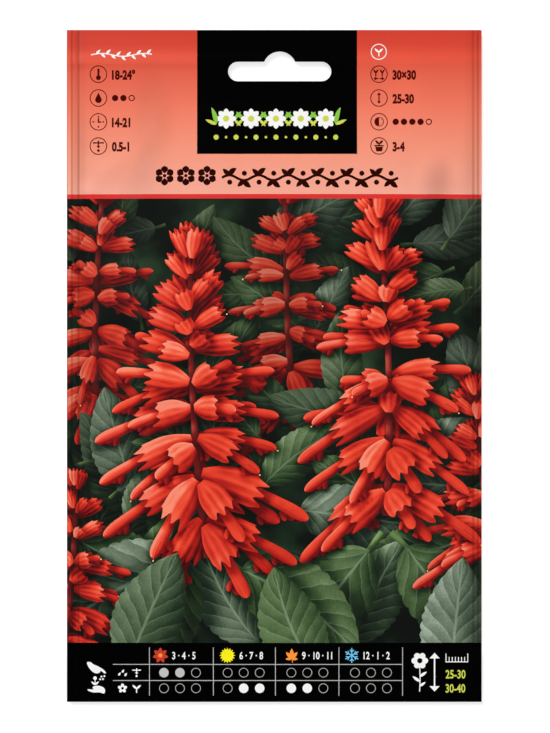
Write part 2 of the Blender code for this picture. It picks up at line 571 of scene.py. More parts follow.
SCARLET = colours(
    (0.0, 58, 2, 4), (0.2, 128, 12, 12), (0.4, 196, 36, 24),
    (0.62, 234, 66, 42), (0.82, 246, 94, 66), (1.0, 252, 142, 114),
)
CRIMSON = colours(
    (0.0, 48, 0, 6), (0.22, 116, 8, 14), (0.45, 182, 28, 24), (0.7, 222, 58, 42), (1.0, 244, 112, 90)
)
LEAF_GREENS = colours(
    (0.0, 6, 14, 6), (0.3, 28, 48, 24), (0.55, 60, 84, 48), (0.8, 98, 122, 80), (1.0, 146, 166, 126)
)
LEAF_BLUES = colours(
    (0.0, 6, 12, 9), (0.3, 32, 48, 36), (0.55, 72, 88, 70), (0.8, 116, 132, 112), (1.0, 168, 184, 164)
)


class Ink(Enum):
    """Every finish that a part of a sheet can have."""

    CORAL = FadeInk("coral ink", stops=colours(
        (PICTURE_TOP, 247, 171, 150), (52.0, 247, 149, 122), (62.0, 243, 122, 94),
        (67.5, 236, 106, 80), (72.0, 229, 90, 66), (74.6, 233, 82, 56), (77.5, 218, 66, 45),
        (TOP, 214, 57, 38),
    ))
    CRIMSON_RULE = FlatInk("crimson ink", ink=rgb(222, 42, 38))
    BLACK = FlatInk("black ink", ink=rgb(1, 1, 1), roughness=0.42, specular=0.02)
    TEXT_BLACK = FlatInk("brown black ink", ink=rgb(44, 5, 1), specular=0.03)
    MAROON = FlatInk("maroon ink", ink=rgb(74, 8, 2), specular=0.03)
    WHITE = FlatInk("white ink", ink=rgb(246, 246, 244))
    GREY = FlatInk("light grey ink", ink=rgb(196, 196, 194))
    YELLOW = FlatInk("yellow ink", ink=rgb(255, 243, 10))
    LIME = FlatInk("lime ink", ink=rgb(206, 214, 78))
    LEAF_GREEN = FlatInk("green ink", ink=rgb(134, 198, 64))
    ORANGE = FlatInk("orange ink", ink=rgb(254, 150, 52))
    BLUE = FlatInk("blue ink", ink=rgb(112, 200, 240))
    RED = FlatInk("red ink", ink=rgb(204, 56, 38))
    CREAM = FlatInk("cream ink", ink=rgb(250, 240, 222))
    CORAL_PALE = FlatInk("pale coral ink", ink=rgb(250, 204, 184))
    SOIL = FlatInk("brown ink", ink=rgb(92, 58, 38))
    SOIL_LIGHT = FlatInk("light brown ink", ink=rgb(136, 96, 66))
    GROUND = GroundInk("picture ground", specular=0.1, shades=colours(
        (0.30, 4, 7, 5), (0.50, 10, 18, 12), (0.62, 24, 40, 26), (0.75, 44, 64, 42)
    ))
    PETAL = PetalInk("petal print", far=rgb(34, 6, 8), warm=SCARLET, cool=CRIMSON)
    THROAT = PetalInk(
        "petal throat print", far=rgb(20, 4, 6),
        warm=colours((0.0, 30, 0, 6), (1.0, 150, 20, 28)),
        cool=colours((0.0, 30, 0, 6), (1.0, 130, 14, 28)),
    )
    CUP = PetalInk(
        "pleated cup print", far=rgb(30, 5, 8), warm=SCARLET, cool=CRIMSON, streaks=0.26, pleats=0.10
    )
    STEM = PetalInk(
        "stem print", far=rgb(10, 12, 8),
        warm=colours((0.0, 30, 4, 8), (0.5, 128, 26, 26), (1.0, 196, 78, 62)),
        cool=colours((0.0, 14, 24, 12), (0.5, 62, 92, 48), (1.0, 140, 166, 100)),
    )
    ANTHER = FlatInk("pollen print", ink=rgb(250, 214, 150))
    LEAF = LeafInk(
        "leaf print", far=rgb(8, 14, 10), roundness=0.55, greens=LEAF_GREENS, blues=LEAF_BLUES,
        vein=rgb(158, 184, 150),
    )
    PAPER_EDGE = FlatInk("cut paper edge", ink=rgb(232, 228, 220), roughness=0.8)
    LINING = FlatInk("foil lining", ink=rgb(205, 206, 208), roughness=0.35, specular=0.6)


@dataclass
class Shape:
    """One flat shape of the print.

    Its outline is a set of points and of segments between them, and a point is inside where a
    line from it crosses an odd number of segments. A drawn plant part also has a spine: rows of
    x, y and half width from its base to its tip, the reach of the shadow that it throws, its
    depth in the picture and how much of the drawn light its own slope takes.
    """

    points: Floats
    links: Ints
    ink: Ink
    tone: float = 0.5
    spine: Floats | None = None
    shadow: float = 0.0
    depth: float = 0.0
    lift: float = 1.0

    def box(self, margin: float) -> tuple[float, float, float, float]:
        """Return the lowest and highest x, then the lowest and highest y, with a margin."""
        low, high = self.points.min(0) - margin, self.points.max(0) + margin
        return low[0], high[0], low[1], high[1]

    def segments(self) -> tuple[Floats, Floats]:
        """Return the start and end points of the outline's segments."""
        return self.points[self.links[:, 0]], self.points[self.links[:, 1]]

    def holds(self, spots: Floats) -> NDArray[np.bool_]:
        """Return for each spot whether it lies inside the outline."""
        start, end = self.segments()
        x, y = spots[:, :1], spots[:, 1:]
        spans = (start[:, 1] > y) != (end[:, 1] > y)
        rise = np.where(start[:, 1] == end[:, 1], 1.0, end[:, 1] - start[:, 1])
        cross = start[:, 0] + (y - start[:, 1]) * (end[:, 0] - start[:, 0]) / rise
        return np.sum(spans & (x < cross), axis=1) % 2 == 1

    def distance(self, spots: Floats) -> Floats:
        """Return how far each spot lies from the outline."""
        _, near = dropped(spots, *self.segments())
        return np.sqrt(np.min(np.sum(near * near, 2), axis=1))

    def drawn(self, spots: Floats) -> tuple[Floats, Floats, Floats]:
        """Work out where spots lie on a plant part.

        Each spot is dropped onto the nearest stretch of the spine. Along is how far up the
        spine that is, across is the distance to the spine over the half width there, and side
        is how much the spine's left flank faces the drawn light.

        Args:
            spots: Places on the sheet.

        Returns:
            Along from 0 to 1, across from -1 to 1, and side, for each spot.
        """
        start, end = self.spine[:-1, :2], self.spine[1:, :2]
        part, near = dropped(spots, start, end)
        pick = np.argmin(np.sum(near * near, 2), axis=1)
        row = np.arange(len(spots))
        part, left = part[row, pick], left_of((end - start)[pick])
        off = np.sum(near[row, pick] * left, axis=1)
        width = self.spine[pick, 2] * (1 - part) + self.spine[pick + 1, 2] * part
        across = np.clip(off / np.maximum(width, 0.05), -1.0, 1.0)
        along = (pick + part) / (len(self.spine) - 1)
        return along, across, left @ DRAWN_LIGHT


Shapes = list[Shape]


def placed(name: str, data: ID) -> Object:
    """Put a mesh, a curve, a light or a camera into the scene and return its object."""
    thing = bpy.data.objects.new(name, data)
    bpy.context.scene.collection.objects.link(thing)
    return thing


def dropped(spots: Floats, start: Floats, end: Floats) -> tuple[Floats, Floats]:
    """Drop spots onto segments.

    Args:
        spots: Places on the sheet.
        start: Where each segment starts.
        end: Where it ends.

    Returns:
        For each spot and segment, the nearest place along it from 0 to 1, and the way there.
    """
    run, reach = end - start, spots[:, None] - start
    part = np.sum(reach * run, 2) / np.maximum(np.sum(run * run, 1), 1e-9)
    part = np.clip(part, 0.0, 1.0)
    return part, reach - part[..., None] * run


def left_of(way: Floats) -> Floats:
    """Return the unit vectors to the left of some directions."""
    left = np.stack([-way[:, 1], way[:, 0]], 1)
    return left / np.maximum(np.linalg.norm(left, axis=1), 1e-9)[:, None]


def heading(turn: float) -> Floats:
    """Return the unit vector that points at an angle in radians."""
    return np.array([math.cos(turn), math.sin(turn)])


def ring_links(count: int) -> Ints:
    """Return the segments that join a row of points into a closed loop."""
    here = np.arange(count)
    return np.stack([here, (here + 1) % count], 1)


def merged(points: Sequence[Floats], links: Sequence[Ints]) -> tuple[Floats, Ints]:
    """Put several sets of points and of segments between them together."""
    firsts = np.cumsum([0] + [len(spots) for spots in points[:-1]])
    pairs = [ends + first for ends, first in zip(links, firsts)]
    return np.concatenate(points), np.concatenate(pairs)


def polygon(points: object, ink: Ink, **looks: object) -> Shape:
    """Return a shape from its corner points."""
    outline = np.asarray(points, float)
    return Shape(outline, ring_links(len(outline)), ink, **looks)


def joined(outlines: Sequence[Floats], ink: Ink) -> Shape:
    """Return one shape from several closed outlines, an inner one being a hole."""
    return Shape(*merged(outlines, [ring_links(len(outline)) for outline in outlines]), ink)


def rectangle(left: float, right: float, low: float, high: float, ink: Ink) -> Shape:
    """Return an upright rectangle."""
    return polygon([(left, low), (right, low), (right, high), (left, high)], ink)


def circle(x: float, y: float, radius: float, sides: int = 28) -> Floats:
    """Return the points of a circle."""
    turn = np.linspace(0.0, math.tau, sides, endpoint=False)
    return np.stack([x + radius * np.cos(turn), y + radius * np.sin(turn)], 1)


def disc(x: float, y: float, radius: float, ink: Ink, sides: int = 24) -> Shape:
    """Return a filled circle."""
    return polygon(circle(x, y, radius, sides), ink)


def hoop(x: float, y: float, radius: float, line: float, ink: Ink) -> Shape:
    """Return a circle drawn as a line."""
    return joined([circle(x, y, radius + line / 2), circle(x, y, radius - line / 2)], ink)


def turned(points: Floats, angle: float, x: float) -> Floats:
    """Return points turned about the origin and then moved to the right by x."""
    cos, sin = math.cos(angle), math.sin(angle)
    return points @ np.array([[cos, sin], [-sin, cos]]) + (x, 0.0)


class Profile(Enum):
    """How a blade's half width goes from its base at 0 to its tip at 1."""

    LEAF = "leaf"
    PETAL = "petal"
    TUBE = "tube"
    BUD = "bud"
    CUP = "cup"
    HOOD = "hood"
    STEM = "stem"

    def places(self, steps: int) -> Floats:
        """Return where the spine's points go, closer together towards a round tip."""
        even = np.linspace(0.0, 1.0, steps + 1)
        return np.sin(0.5 * np.pi * even) if self in (Profile.TUBE, Profile.HOOD) else even

    def width(self, along: Floats) -> Floats:
        """Return the half width, as a part of the widest, at places along the blade."""
        u = np.clip(along, 0.0, 1.0)
        if self is Profile.LEAF:
            return 1.92 * u**0.62 * (1.0 - u) ** 0.88
        if self is Profile.PETAL:
            return np.sin(np.pi * u**1.25) ** 0.75
        if self is Profile.TUBE:
            return (0.74 + 0.34 * u**2) * np.sqrt(1.0 - np.clip((u - 0.72) / 0.28, 0.0, 1.0) ** 2.4)
        if self is Profile.BUD:
            return np.sin(np.pi * u**0.75) ** 0.9
        if self is Profile.CUP:
            return 0.32 + 0.68 * np.sin(0.5 * np.pi * np.clip(u / 0.7, 0.0, 1.0))
        if self is Profile.HOOD:
            return np.sqrt(1.0 - (1.2 * u - 0.2) ** 2) * (0.7 + 0.3 * u)
        return 1.0 - 0.45 * u


def ribbon(line: Floats, width: Floats, ink: Ink, **looks: object) -> Shape:
    """Draw a plant part about a spine.

    The outline runs up the spine's left side and down its right side, half the width out
    along the normals. An end without width is one point.

    Args:
        line: The spine's points.
        width: The half width at each of them.
        ink: Its finish.
        looks: The shape's tone, shadow, depth and lift.

    Returns:
        The shape, with its spine.
    """
    left = left_of(np.gradient(line, axis=0))
    one, other = line + width[:, None] * left, (line - width[:, None] * left)[::-1]
    widest = 0.02 * width.max()
    outline = np.concatenate([one[int(width[0] < widest) :], other[int(width[-1] < widest) :]])
    return polygon(outline, ink, spine=np.column_stack([line, width]), **looks)


def blade(
    base: Spot,
    tip: Spot,
    half_width: float,
    profile: Profile,
    ink: Ink,
    bend: float = 0.0,
    steps: int = 9,
    teeth: float = 0.0,
    tooth_count: int = 0,
    **looks: object,
) -> Shape:
    """Draw a plant part between two points.

    The spine is a quadratic curve from base to tip whose middle point is moved sideways by
    bend times its length. Round teeth stand out of the profile by a sine's height.

    Args:
        base: Where the part grows from.
        tip: Its far end.
        half_width: Its widest half width.
        profile: How the width changes.
        ink: Its finish.
        bend: How far it bows to the left, as a part of its length.
        steps: Segments along each side.
        teeth: How far teeth stand out, as a part of the width.
        tooth_count: How many teeth each side has.
        looks: The shape's tone, shadow, depth and lift.

    Returns:
        The shape, with its spine.
    """
    start, end = np.asarray(base, float), np.asarray(tip, float)
    run = end - start
    middle = (start + end) / 2 + bend * np.array([-run[1], run[0]])
    u = profile.places(steps)
    line = np.outer((1 - u) ** 2, start) + np.outer(2 * u * (1 - u), middle) + np.outer(u**2, end)
    round_teeth = 1.0 + teeth * np.abs(np.sin(np.pi * tooth_count * u))
    return ribbon(line, half_width * profile.width(u) * round_teeth, ink, **looks)


def stroke(line: object, width: float, ink: Ink) -> Shape:
    """Return a line of even width along a row of points.

    Each point moves out by the sum of its two stretches' normals, scaled so that the line
    keeps its width round the corner.
    """
    spots = np.asarray(line, float)
    left = left_of(np.diff(spots, axis=0))
    joint = np.concatenate([left[:1], left[:-1] + left[1:], left[-1:]])
    joint[1:-1] *= 2.0 / np.sum(joint[1:-1] ** 2, 1)[:, None]
    edge = joint * width / 2
    return polygon(np.concatenate([spots + edge, (spots - edge)[::-1]]), ink)


def rounded(corners: Sequence[Spot]) -> Floats:
    """Return a closed outline with its corners cut three times over, which rounds them."""
    outline = np.asarray(corners, float)
    for _ in range(3):
        ahead = np.roll(outline, -1, axis=0)
        cut = np.stack([0.75 * outline + 0.25 * ahead, 0.25 * outline + 0.75 * ahead], 1)
        outline = cut.reshape(-1, 2)
    return outline


def spray(
    x: float, y: float, reach: float, half: float, count: int, profile: Profile, ink: Ink,
    inner: float = 0.0,
) -> Shapes:
    """Return petals or rays set evenly round a middle point, the first one upright.

    Args:
        x: The middle.
        y: The middle.
        reach: How far out their tips are.
        half: Their half width.
        count: How many there are.
        profile: Their outline.
        ink: Their finish.
        inner: How far out they begin.

    Returns:
        Their shapes.
    """
    turns = np.radians(90.0 + 360.0 / count * np.arange(count))
    return [
        blade((x, y) + inner * way, (x, y) + reach * way, half, profile, ink, steps=7)
        for way in map(heading, turns)
    ]


class Figures:
    """Plain numbers and signs as printed shapes, in Blender's own plain typeface."""

    SQUEEZE = 0.74

    def __init__(self, weight: float = 0.02) -> None:
        """Set how far the outline is pushed out, as a part of the type size."""
        self.weight = weight
        points, _ = self.trace("0")
        self.tall = float(np.ptp(points[:, 1]))

    def trace(self, text: str) -> tuple[Floats, Ints]:
        """Return the outline points and segments of some text at the type's own size.

        Blender fills the text with triangles, and a side that only one triangle has is a
        stretch of the outline.
        """
        curve = bpy.data.curves.new("figures", "FONT")
        curve.body = text
        curve.offset = self.weight
        curve.resolution_u = 3
        carrier = placed("figures", curve)
        graph = bpy.context.evaluated_depsgraph_get()
        mesh = bpy.data.meshes.new_from_object(carrier.evaluated_get(graph))
        points = np.zeros(len(mesh.vertices) * 3)
        mesh.vertices.foreach_get("co", points)
        mesh.calc_loop_triangles()
        faces = np.zeros(len(mesh.loop_triangles) * 3, int)
        mesh.loop_triangles.foreach_get("vertices", faces)
        bpy.data.batch_remove((carrier, curve, mesh))
        sides = faces.reshape(-1, 3)[:, [0, 1, 1, 2, 2, 0]].reshape(-1, 2)
        sides, count = np.unique(np.sort(sides, axis=1), axis=0, return_counts=True)
        return points.reshape(-1, 3)[:, :2], sides[count == 1]

    def print(self, text: str, x: float, y: float, height: float, ink: Ink, at: float = 0.0) -> Shape:
        """Return some figures as one shape.

        Args:
            text: Numbers and signs.
            x: Where the text starts, or its middle or end by at.
            y: The line that it stands on.
            height: How tall a figure is.
            ink: Its finish.
            at: 0 to start at x, 0.5 to be centred on it and 1 to end there.

        Returns:
            The shape.
        """
        points, links = self.trace(text)
        points = points * (self.SQUEEZE, 1.0) * height / self.tall
        low, high = points[:, 0].min(), points[:, 0].max()
        return Shape(points + (x - low - at * (high - low), y), links, ink)


@dataclass(frozen=True)
class Sign:
    """A place for a small sign: its middle, how far it reaches and its ink.

    What it is drawn from is given as parts of that reach from the middle.
    """

    x: float
    y: float
    size: float
    ink: Ink

    def spot(self, across: float, up: float) -> Spot:
        """Return a point on the sheet."""
        return self.x + across * self.size, self.y + up * self.size

    def outline(self, corners: Iterable[Spot]) -> Shape:
        """Return a filled shape."""
        return polygon([self.spot(*corner) for corner in corners], self.ink)

    def line(self, *spots: Spot, width: float = 0.24) -> Shape:
        """Return a line through points."""
        return stroke([self.spot(*spot) for spot in spots], width * self.size, self.ink)

    def dot(self, spot: Spot, radius: float, sides: int = 24) -> Shape:
        """Return a filled circle."""
        return disc(*self.spot(*spot), radius * self.size, self.ink, sides)

    def leaf(self, base: Spot, tip: Spot, half: float, profile: Profile = Profile.LEAF) -> Shape:
        """Return a plain leaf, or another blade."""
        return blade(self.spot(*base), self.spot(*tip), half * self.size, profile, self.ink)

    def leaves(self, x: float, y: float, reach: float, rise: float, half: float) -> Shapes:
        """Return two leaves that leave a point to the left and to the right."""
        return [self.leaf((x, y), (x + side * reach, y + rise), half) for side in (-1, 1)]

    def arrow(self, start: Spot, end: Spot) -> Shapes:
        """Return a line with an arrowhead at its end."""
        way = np.subtract(end, start) / math.dist(end, start)
        wing, neck = 0.34 * np.array([-way[1], way[0]]), end - 0.46 * way
        return [self.line(start, neck, width=0.22), self.outline((end, neck + wing, neck - wing))]

    def drop(self) -> Shapes:
        """Return a drop of water."""
        turn = np.radians(np.linspace(-215, 35, 15))
        ball = np.stack([0.56 * np.cos(turn), -0.30 + 0.56 * np.sin(turn)], 1)
        return [self.outline([*ball, (0.0, 0.95)])]

    def clock(self) -> Shapes:
        """Return a clock's two hands over short marks."""
        ways = (1, 0), (0, 1), (-1, 0), (0, -1)
        marks = [self.line((0.72 * x, 0.72 * y), (x, y)) for x, y in ways]
        return marks + [self.line((0, 0.62), (0, -0.05), (0.5, -0.05))]

    def depth(self) -> Shapes:
        """Return an arrow that goes down from the ground to a seed."""
        ground = self.line((-0.95, 0.55), (0.95, 0.55))
        return [ground, *self.arrow((0, 0.95), (0, -0.42)), self.dot((0, -0.76), 0.24)]

    def spacing(self) -> Shapes:
        """Return two seedlings with an arrow between them."""
        made = self.arrow((0.1, -0.75), (0.95, -0.75)) + self.arrow((-0.1, -0.75), (-0.95, -0.75))
        for x in (-0.55, 0.55):
            made.append(self.line((x, -0.4), (x, 0.35), width=0.22))
            made += self.leaves(x, 0.2, 0.42, 0.65, 0.22)
        return made

    def tall(self) -> Shapes:
        """Return an upright arrow with two heads."""
        return self.arrow((0, 0), (0, 1)) + self.arrow((0, 0), (0, -1))

    def warm(self) -> Shapes:
        """Return a thermometer."""
        return [self.line((0, -0.6), (0, 0.95), width=0.36), self.dot((0, -0.6), 0.42)]

    def half_sun(self) -> Shapes:
        """Return a disc of which half is filled."""
        rim = hoop(self.x, self.y, 0.75 * self.size, 0.13 * self.size, self.ink)
        return [rim, self.outline(circle(0.0, 0.0, 0.75, 24)[6:19])]

    def sprout(self) -> Shapes:
        """Return a seedling with two leaves."""
        return [self.line((0, -0.95), (0, 0.1)), *self.leaves(0.0, -0.1, 0.9, 0.8, 0.32)]

    def pot(self) -> Shapes:
        """Return a pot with a seedling in it."""
        side = self.outline(((-0.5, -0.95), (0.5, -0.95), (0.66, -0.15), (-0.66, -0.15)))
        rim = self.outline(((-0.8, -0.08), (0.8, -0.08), (0.8, 0.16), (-0.8, 0.16)))
        return [side, rim, self.line((0, 0.1), (0, 0.5)), *self.leaves(0.0, 0.3, 0.7, 0.7, 0.28)]

    def snow(self) -> Shapes:
        """Return a snow crystal: six arms with side twigs."""
        made = []
        for turn in np.radians(range(30, 390, 60)):
            arm = heading(turn)
            made.append(self.line((0, 0), arm, width=0.15))
            for twig in (heading(turn - 0.75), heading(turn + 0.75)):
                made.append(self.line(0.45 * arm, 0.45 * arm + 0.4 * twig, width=0.13))
        return made

    def star(self) -> Shapes:
        """Return a disc with a rim of sixteen short points."""
        reach = np.where(np.arange(32) % 2, 0.72, 1.0)[:, None]
        return [self.outline(circle(0.0, 0.0, 1.0, 32) * reach)]

    def autumn_leaf(self) -> Shapes:
        """Return a leaf of five fingers on a stalk."""
        fingers = (90, 1.0, 0.42), (38, 1.0, 0.36), (142, 1.0, 0.36), (-12, 0.85, 0.3), (192, 0.85, 0.3)
        made = [self.line((0, -0.2), (0.12, -1.0), width=0.13)]
        for angle, reach, half in fingers:
            tip = heading(math.radians(angle)) * (reach, 1.25 * reach) - (0.0, 0.3)
            made.append(self.leaf((0, -0.42), tip, half))
        return made

    def blossom(self, heart: Ink, petals: int = 5) -> Shapes:
        """Return a flower head seen from the front."""
        half = self.size * (1.5 / petals + 0.03)
        ring = spray(self.x, self.y, self.size, half, petals, Profile.PETAL, self.ink)
        return ring + [disc(self.x, self.y, 0.27 * self.size, heart)]

    def seeds(self) -> Shapes:
        """Return three seeds."""
        places = (-0.55, -0.25), (0.1, 0.3), (0.6, -0.35)
        return [self.leaf((x - 0.2, y - 0.3), (x + 0.2, y + 0.3), 0.2, Profile.BUD) for x, y in places]

    def sowing_hand(self) -> Shapes:
        """Return a hand that drops seeds."""
        hand = rounded((
            (-1.0, 0.75), (-0.5, 0.72), (-0.3, 0.5), (0.25, 0.28), (0.8, -0.05), (1.05, -0.4),
            (0.85, -0.46), (0.45, -0.1), (0.42, -0.34), (0.1, -0.46), (-0.25, -0.36), (-0.7, 0.1),
        ))
        seeds = (0.55, -0.75), (0.85, -0.7), (0.7, -1.0), (0.42, -1.02)
        return [self.outline(hand), *(self.dot(seed, 0.1, 8) for seed in seeds)]

    def holding_hand(self) -> Shapes:
        """Return a hand, palm up, under a seedling."""
        hand = rounded((
            (-1.0, -0.3), (-0.55, -0.3), (-0.2, -0.34), (-0.42, -0.14), (-0.25, 0.06), (0.3, 0.12),
            (1.0, -0.15), (1.0, -0.85), (0.4, -0.62), (-0.3, -0.68), (-0.8, -0.5),
        ))
        made = [self.outline(hand), self.line((-0.1, 0.15), (-0.1, 0.75), width=0.1)]
        return made + self.leaves(-0.1, 0.2, 0.42, 0.35, 0.16) + [self.dot((-0.1, 0.92), 0.2)]


@dataclass
class Floret:
    """One scarlet floret: a pleated cup with teeth, a long tube out of it, and two lips.

    It is worked out in space and drawn flat: x and y lie in the sheet and z points out of it.
    Places are given as parts of the floret's length along it, and off it to its upper side.
    """

    root: Floats
    axis: Floats
    length: float
    depth: float
    draw: np.random.Generator

    CUP_END = 0.52
    CUP_HALF = 0.145
    TUBE = (0.34, 0.86)
    TUBE_HALF = 0.066
    TOOTH = 0.12
    LOBES = (0.03, -0.05, 0.35, 0.12, 0.9, 0.1), (0.05, -0.055, 0.95, 0.10, 0.82, 0.2)
    DROOP = 0.16
    SHORTEST = 0.42

    def __post_init__(self) -> None:
        """Work out how the floret lies in the sheet, its tone and its light."""
        flat = self.axis[:2]
        seen = float(np.linalg.norm(flat))
        self.reach = self.length * max(seen, self.SHORTEST)
        self.way = flat / max(seen, 1e-6)
        side = np.array([-self.way[1], self.way[0]])
        self.upper = side if side[1] >= 0 else -side
        self.tone = float(self.draw.uniform(0.0, 1.0))
        facing = float(self.axis @ np.array([*DRAWN_LIGHT, DRAWN_LIGHT_OUT]))
        self.lift = 0.86 + 0.20 * facing + float(self.draw.uniform(-0.10, 0.14))

    def spots(self, along: object, off: object = 0.0) -> Floats:
        """Return points in the sheet. They sink below the axis with the square of along."""
        along, off = np.broadcast_arrays(np.asarray(along, float), np.asarray(off, float))
        place = self.root[:2] + np.outer(along * self.reach, self.way)
        place = place + np.outer(off * self.length, self.upper)
        place[:, 1] -= self.DROOP * self.reach * along**2
        return place

    def looks(self, lift: float = 1.0, tone: float = 0.0, shadow: float = 0.0) -> dict[str, float]:
        """Return the looks of one piece of the floret."""
        return {"depth": self.depth, "tone": min(self.tone * 0.7 + tone, 1.0),
                "lift": self.lift * lift, "shadow": shadow}

    def piece(
        self, start: float, end: float, half: float, profile: Profile, ink: Ink, off: float = 0.0,
        steps: int = 8, **looks: float,
    ) -> Shape:
        """Return a piece that follows the floret from one place to another.

        Args:
            start: Where it starts.
            end: Where it ends.
            half: Its widest half width.
            profile: How the width changes.
            ink: Its finish.
            off: How far it lies off the middle.
            steps: Segments along each side.
            looks: Its lift, tone and shadow.

        Returns:
            The shape.
        """
        u = profile.places(steps)
        line = self.spots(start + (end - start) * u, off)
        return ribbon(line, half * self.length * profile.width(u), ink, **self.looks(**looks))

    def cup(self, half: float) -> Shape:
        """Return the cup's front, which widens to a rim with three teeth and round gaps.

        Args:
            half: The rim's half width.

        Returns:
            The shape.
        """
        body = self.piece(0.0, self.CUP_END, half, Profile.CUP, Ink.CUP, shadow=1.3)
        across = np.linspace(0.9, -0.9, 15)
        tall = self.TOOTH * self.draw.uniform(0.5, 1.5, 3).repeat((5, 5, 5))
        along = self.CUP_END + tall * (1.0 - np.abs(np.sin(1.5 * np.pi * across + 0.25))) ** 0.8
        teeth = self.spots(along, across * half)
        count = len(body.points) // 2
        left = body.points[count - 1]
        if np.linalg.norm(left - teeth[0]) > np.linalg.norm(left - teeth[-1]):
            teeth = teeth[::-1]
        body.points = np.concatenate([body.points[:count], teeth, body.points[count:]])
        body.links = ring_links(len(body.points))
        return body

    def lips(self, mouth: float) -> Shapes:
        """Return the lower lip's two lobes, each turned down from the floret's own way.

        A lobe is given by how far back and off it starts, its turn, size, lift and tone.

        Args:
            mouth: Where the tube opens.

        Returns:
            The lobes.
        """
        made, swings = [], self.draw.uniform(-0.15, 0.15, 2)
        for swing, (back, off, turn, size, lift, tone) in zip(swings, self.LOBES):
            root, turn = self.spots([mouth - back], off)[0], turn + swing
            way = math.cos(turn) * self.way - math.sin(turn) * self.upper
            made.append(blade(root, root + way * size * self.length, 0.42 * size * self.length,
                              Profile.HOOD, Ink.PETAL, steps=6, **self.looks(lift, tone, 0.5)))
        return made

    def shapes(self, opened: float) -> Shapes:
        """Return the floret's shapes from the back to the front.

        Args:
            opened: 0 for a bud in its cup, up to 1 for a full tube with its lips.

        Returns:
            The shapes.
        """
        end, half = self.CUP_END, self.CUP_HALF * self.draw.uniform(0.9, 1.1)
        back = self.piece(0.2, end + 0.11, half * 0.8, Profile.LEAF, Ink.CUP, 0.03, lift=0.62, tone=0.5)
        cup = self.cup(half)
        if opened < 0.3:
            bud = self.piece(0.2, end + 0.16, half * 0.62, Profile.BUD, Ink.PETAL, lift=0.95)
            return [back, bud, cup]
        start, full = self.TUBE
        mouth = end + (full - end) * opened
        tip = mouth + 0.15 * opened + 0.05
        tube = self.piece(start, tip, self.TUBE_HALF, Profile.TUBE, Ink.PETAL, steps=14, shadow=1.1)
        if opened < 0.7:
            return [back, tube, cup]
        throat = self.piece(mouth - 0.05, tip - 0.05, 0.04, Profile.PETAL, Ink.THROAT, -0.05)
        return [back, throat, *self.lips(mouth), tube, *self.thread(mouth), cup]

    def thread(self, mouth: float) -> Shapes:
        """Return the pale thread that some florets show at the hood's tip."""
        if self.draw.uniform() > 0.28:
            return []
        line = self.spots([mouth, mouth + 0.12, mouth + 0.22], [0.0, 0.0, -0.02])
        thread = ribbon(line, np.array([0.14, 0.12, 0.1]), Ink.PETAL, **self.looks(tone=0.6))
        tip = disc(*line[-1], 0.18, Ink.ANTHER, 7)
        tip.depth = self.depth
        return [thread, tip]


@dataclass
class Spire:
    """A flowering stem: whorls of florets, drooping below, level above, and buds at the top."""

    base: Spot
    tip: Spot
    whorls: int
    floret: float
    seed: int
    bend: float = 0.03
    depth: float = 0.0
    each: int = 6

    STEPS = 24
    CROWDING = 0.74
    BUD_START = 0.62
    STEM_HALF = 0.95

    def shapes(self) -> Shapes:
        """Return the spire's shapes from the back to the front."""
        draw = np.random.default_rng(self.seed)
        stem = blade(self.base, self.tip, self.STEM_HALF, Profile.STEM, Ink.STEM, bend=self.bend,
                     steps=self.STEPS, tone=0.0, shadow=1.2, depth=self.depth)
        line = stem.spine[:, :2]
        behind, before = [], []
        for whorl in range(self.whorls):
            up = ((whorl + draw.uniform(0.3, 0.7)) / self.whorls) ** self.CROWDING
            spot = min(int(up * self.STEPS), self.STEPS - 1)
            way = line[spot + 1] - line[spot]
            heart = np.array([*(line[spot] + way * (up * self.STEPS - spot)), 0.0])
            axis = np.array([*(way / np.linalg.norm(way)), 0.0])
            side = np.array([axis[1], -axis[0], 0.0])
            length = self.floret * (1.0 - 0.5 * up**1.6)
            turns = np.radians(360 / self.each * (np.arange(self.each) + 0.5 * (whorl % 2)))
            turns += draw.uniform(-0.3, 0.3) + draw.uniform(-0.25, 0.25, self.each)
            for turn in turns[np.argsort(np.cos(turns))]:
                out = np.array([*(math.sin(turn) * side[:2]), math.cos(turn)])
                slope = math.radians(-34 + 104 * up**1.5) + draw.normal(0, 0.16)
                aim = math.cos(slope) * out + math.sin(slope) * axis
                root = heart + out * 0.9 + axis * draw.uniform(-1.5, 1.5)
                opened = np.clip((self.BUD_START - up) / 0.12 + draw.uniform(0.3, 1.0), 0.0, 1.0)
                size = length * draw.uniform(0.88, 1.1)
                floret = Floret(root, aim, size, self.depth, draw).shapes(float(opened))
                (behind if out[2] < -0.2 else before).extend(floret)
        return behind + [stem] + before


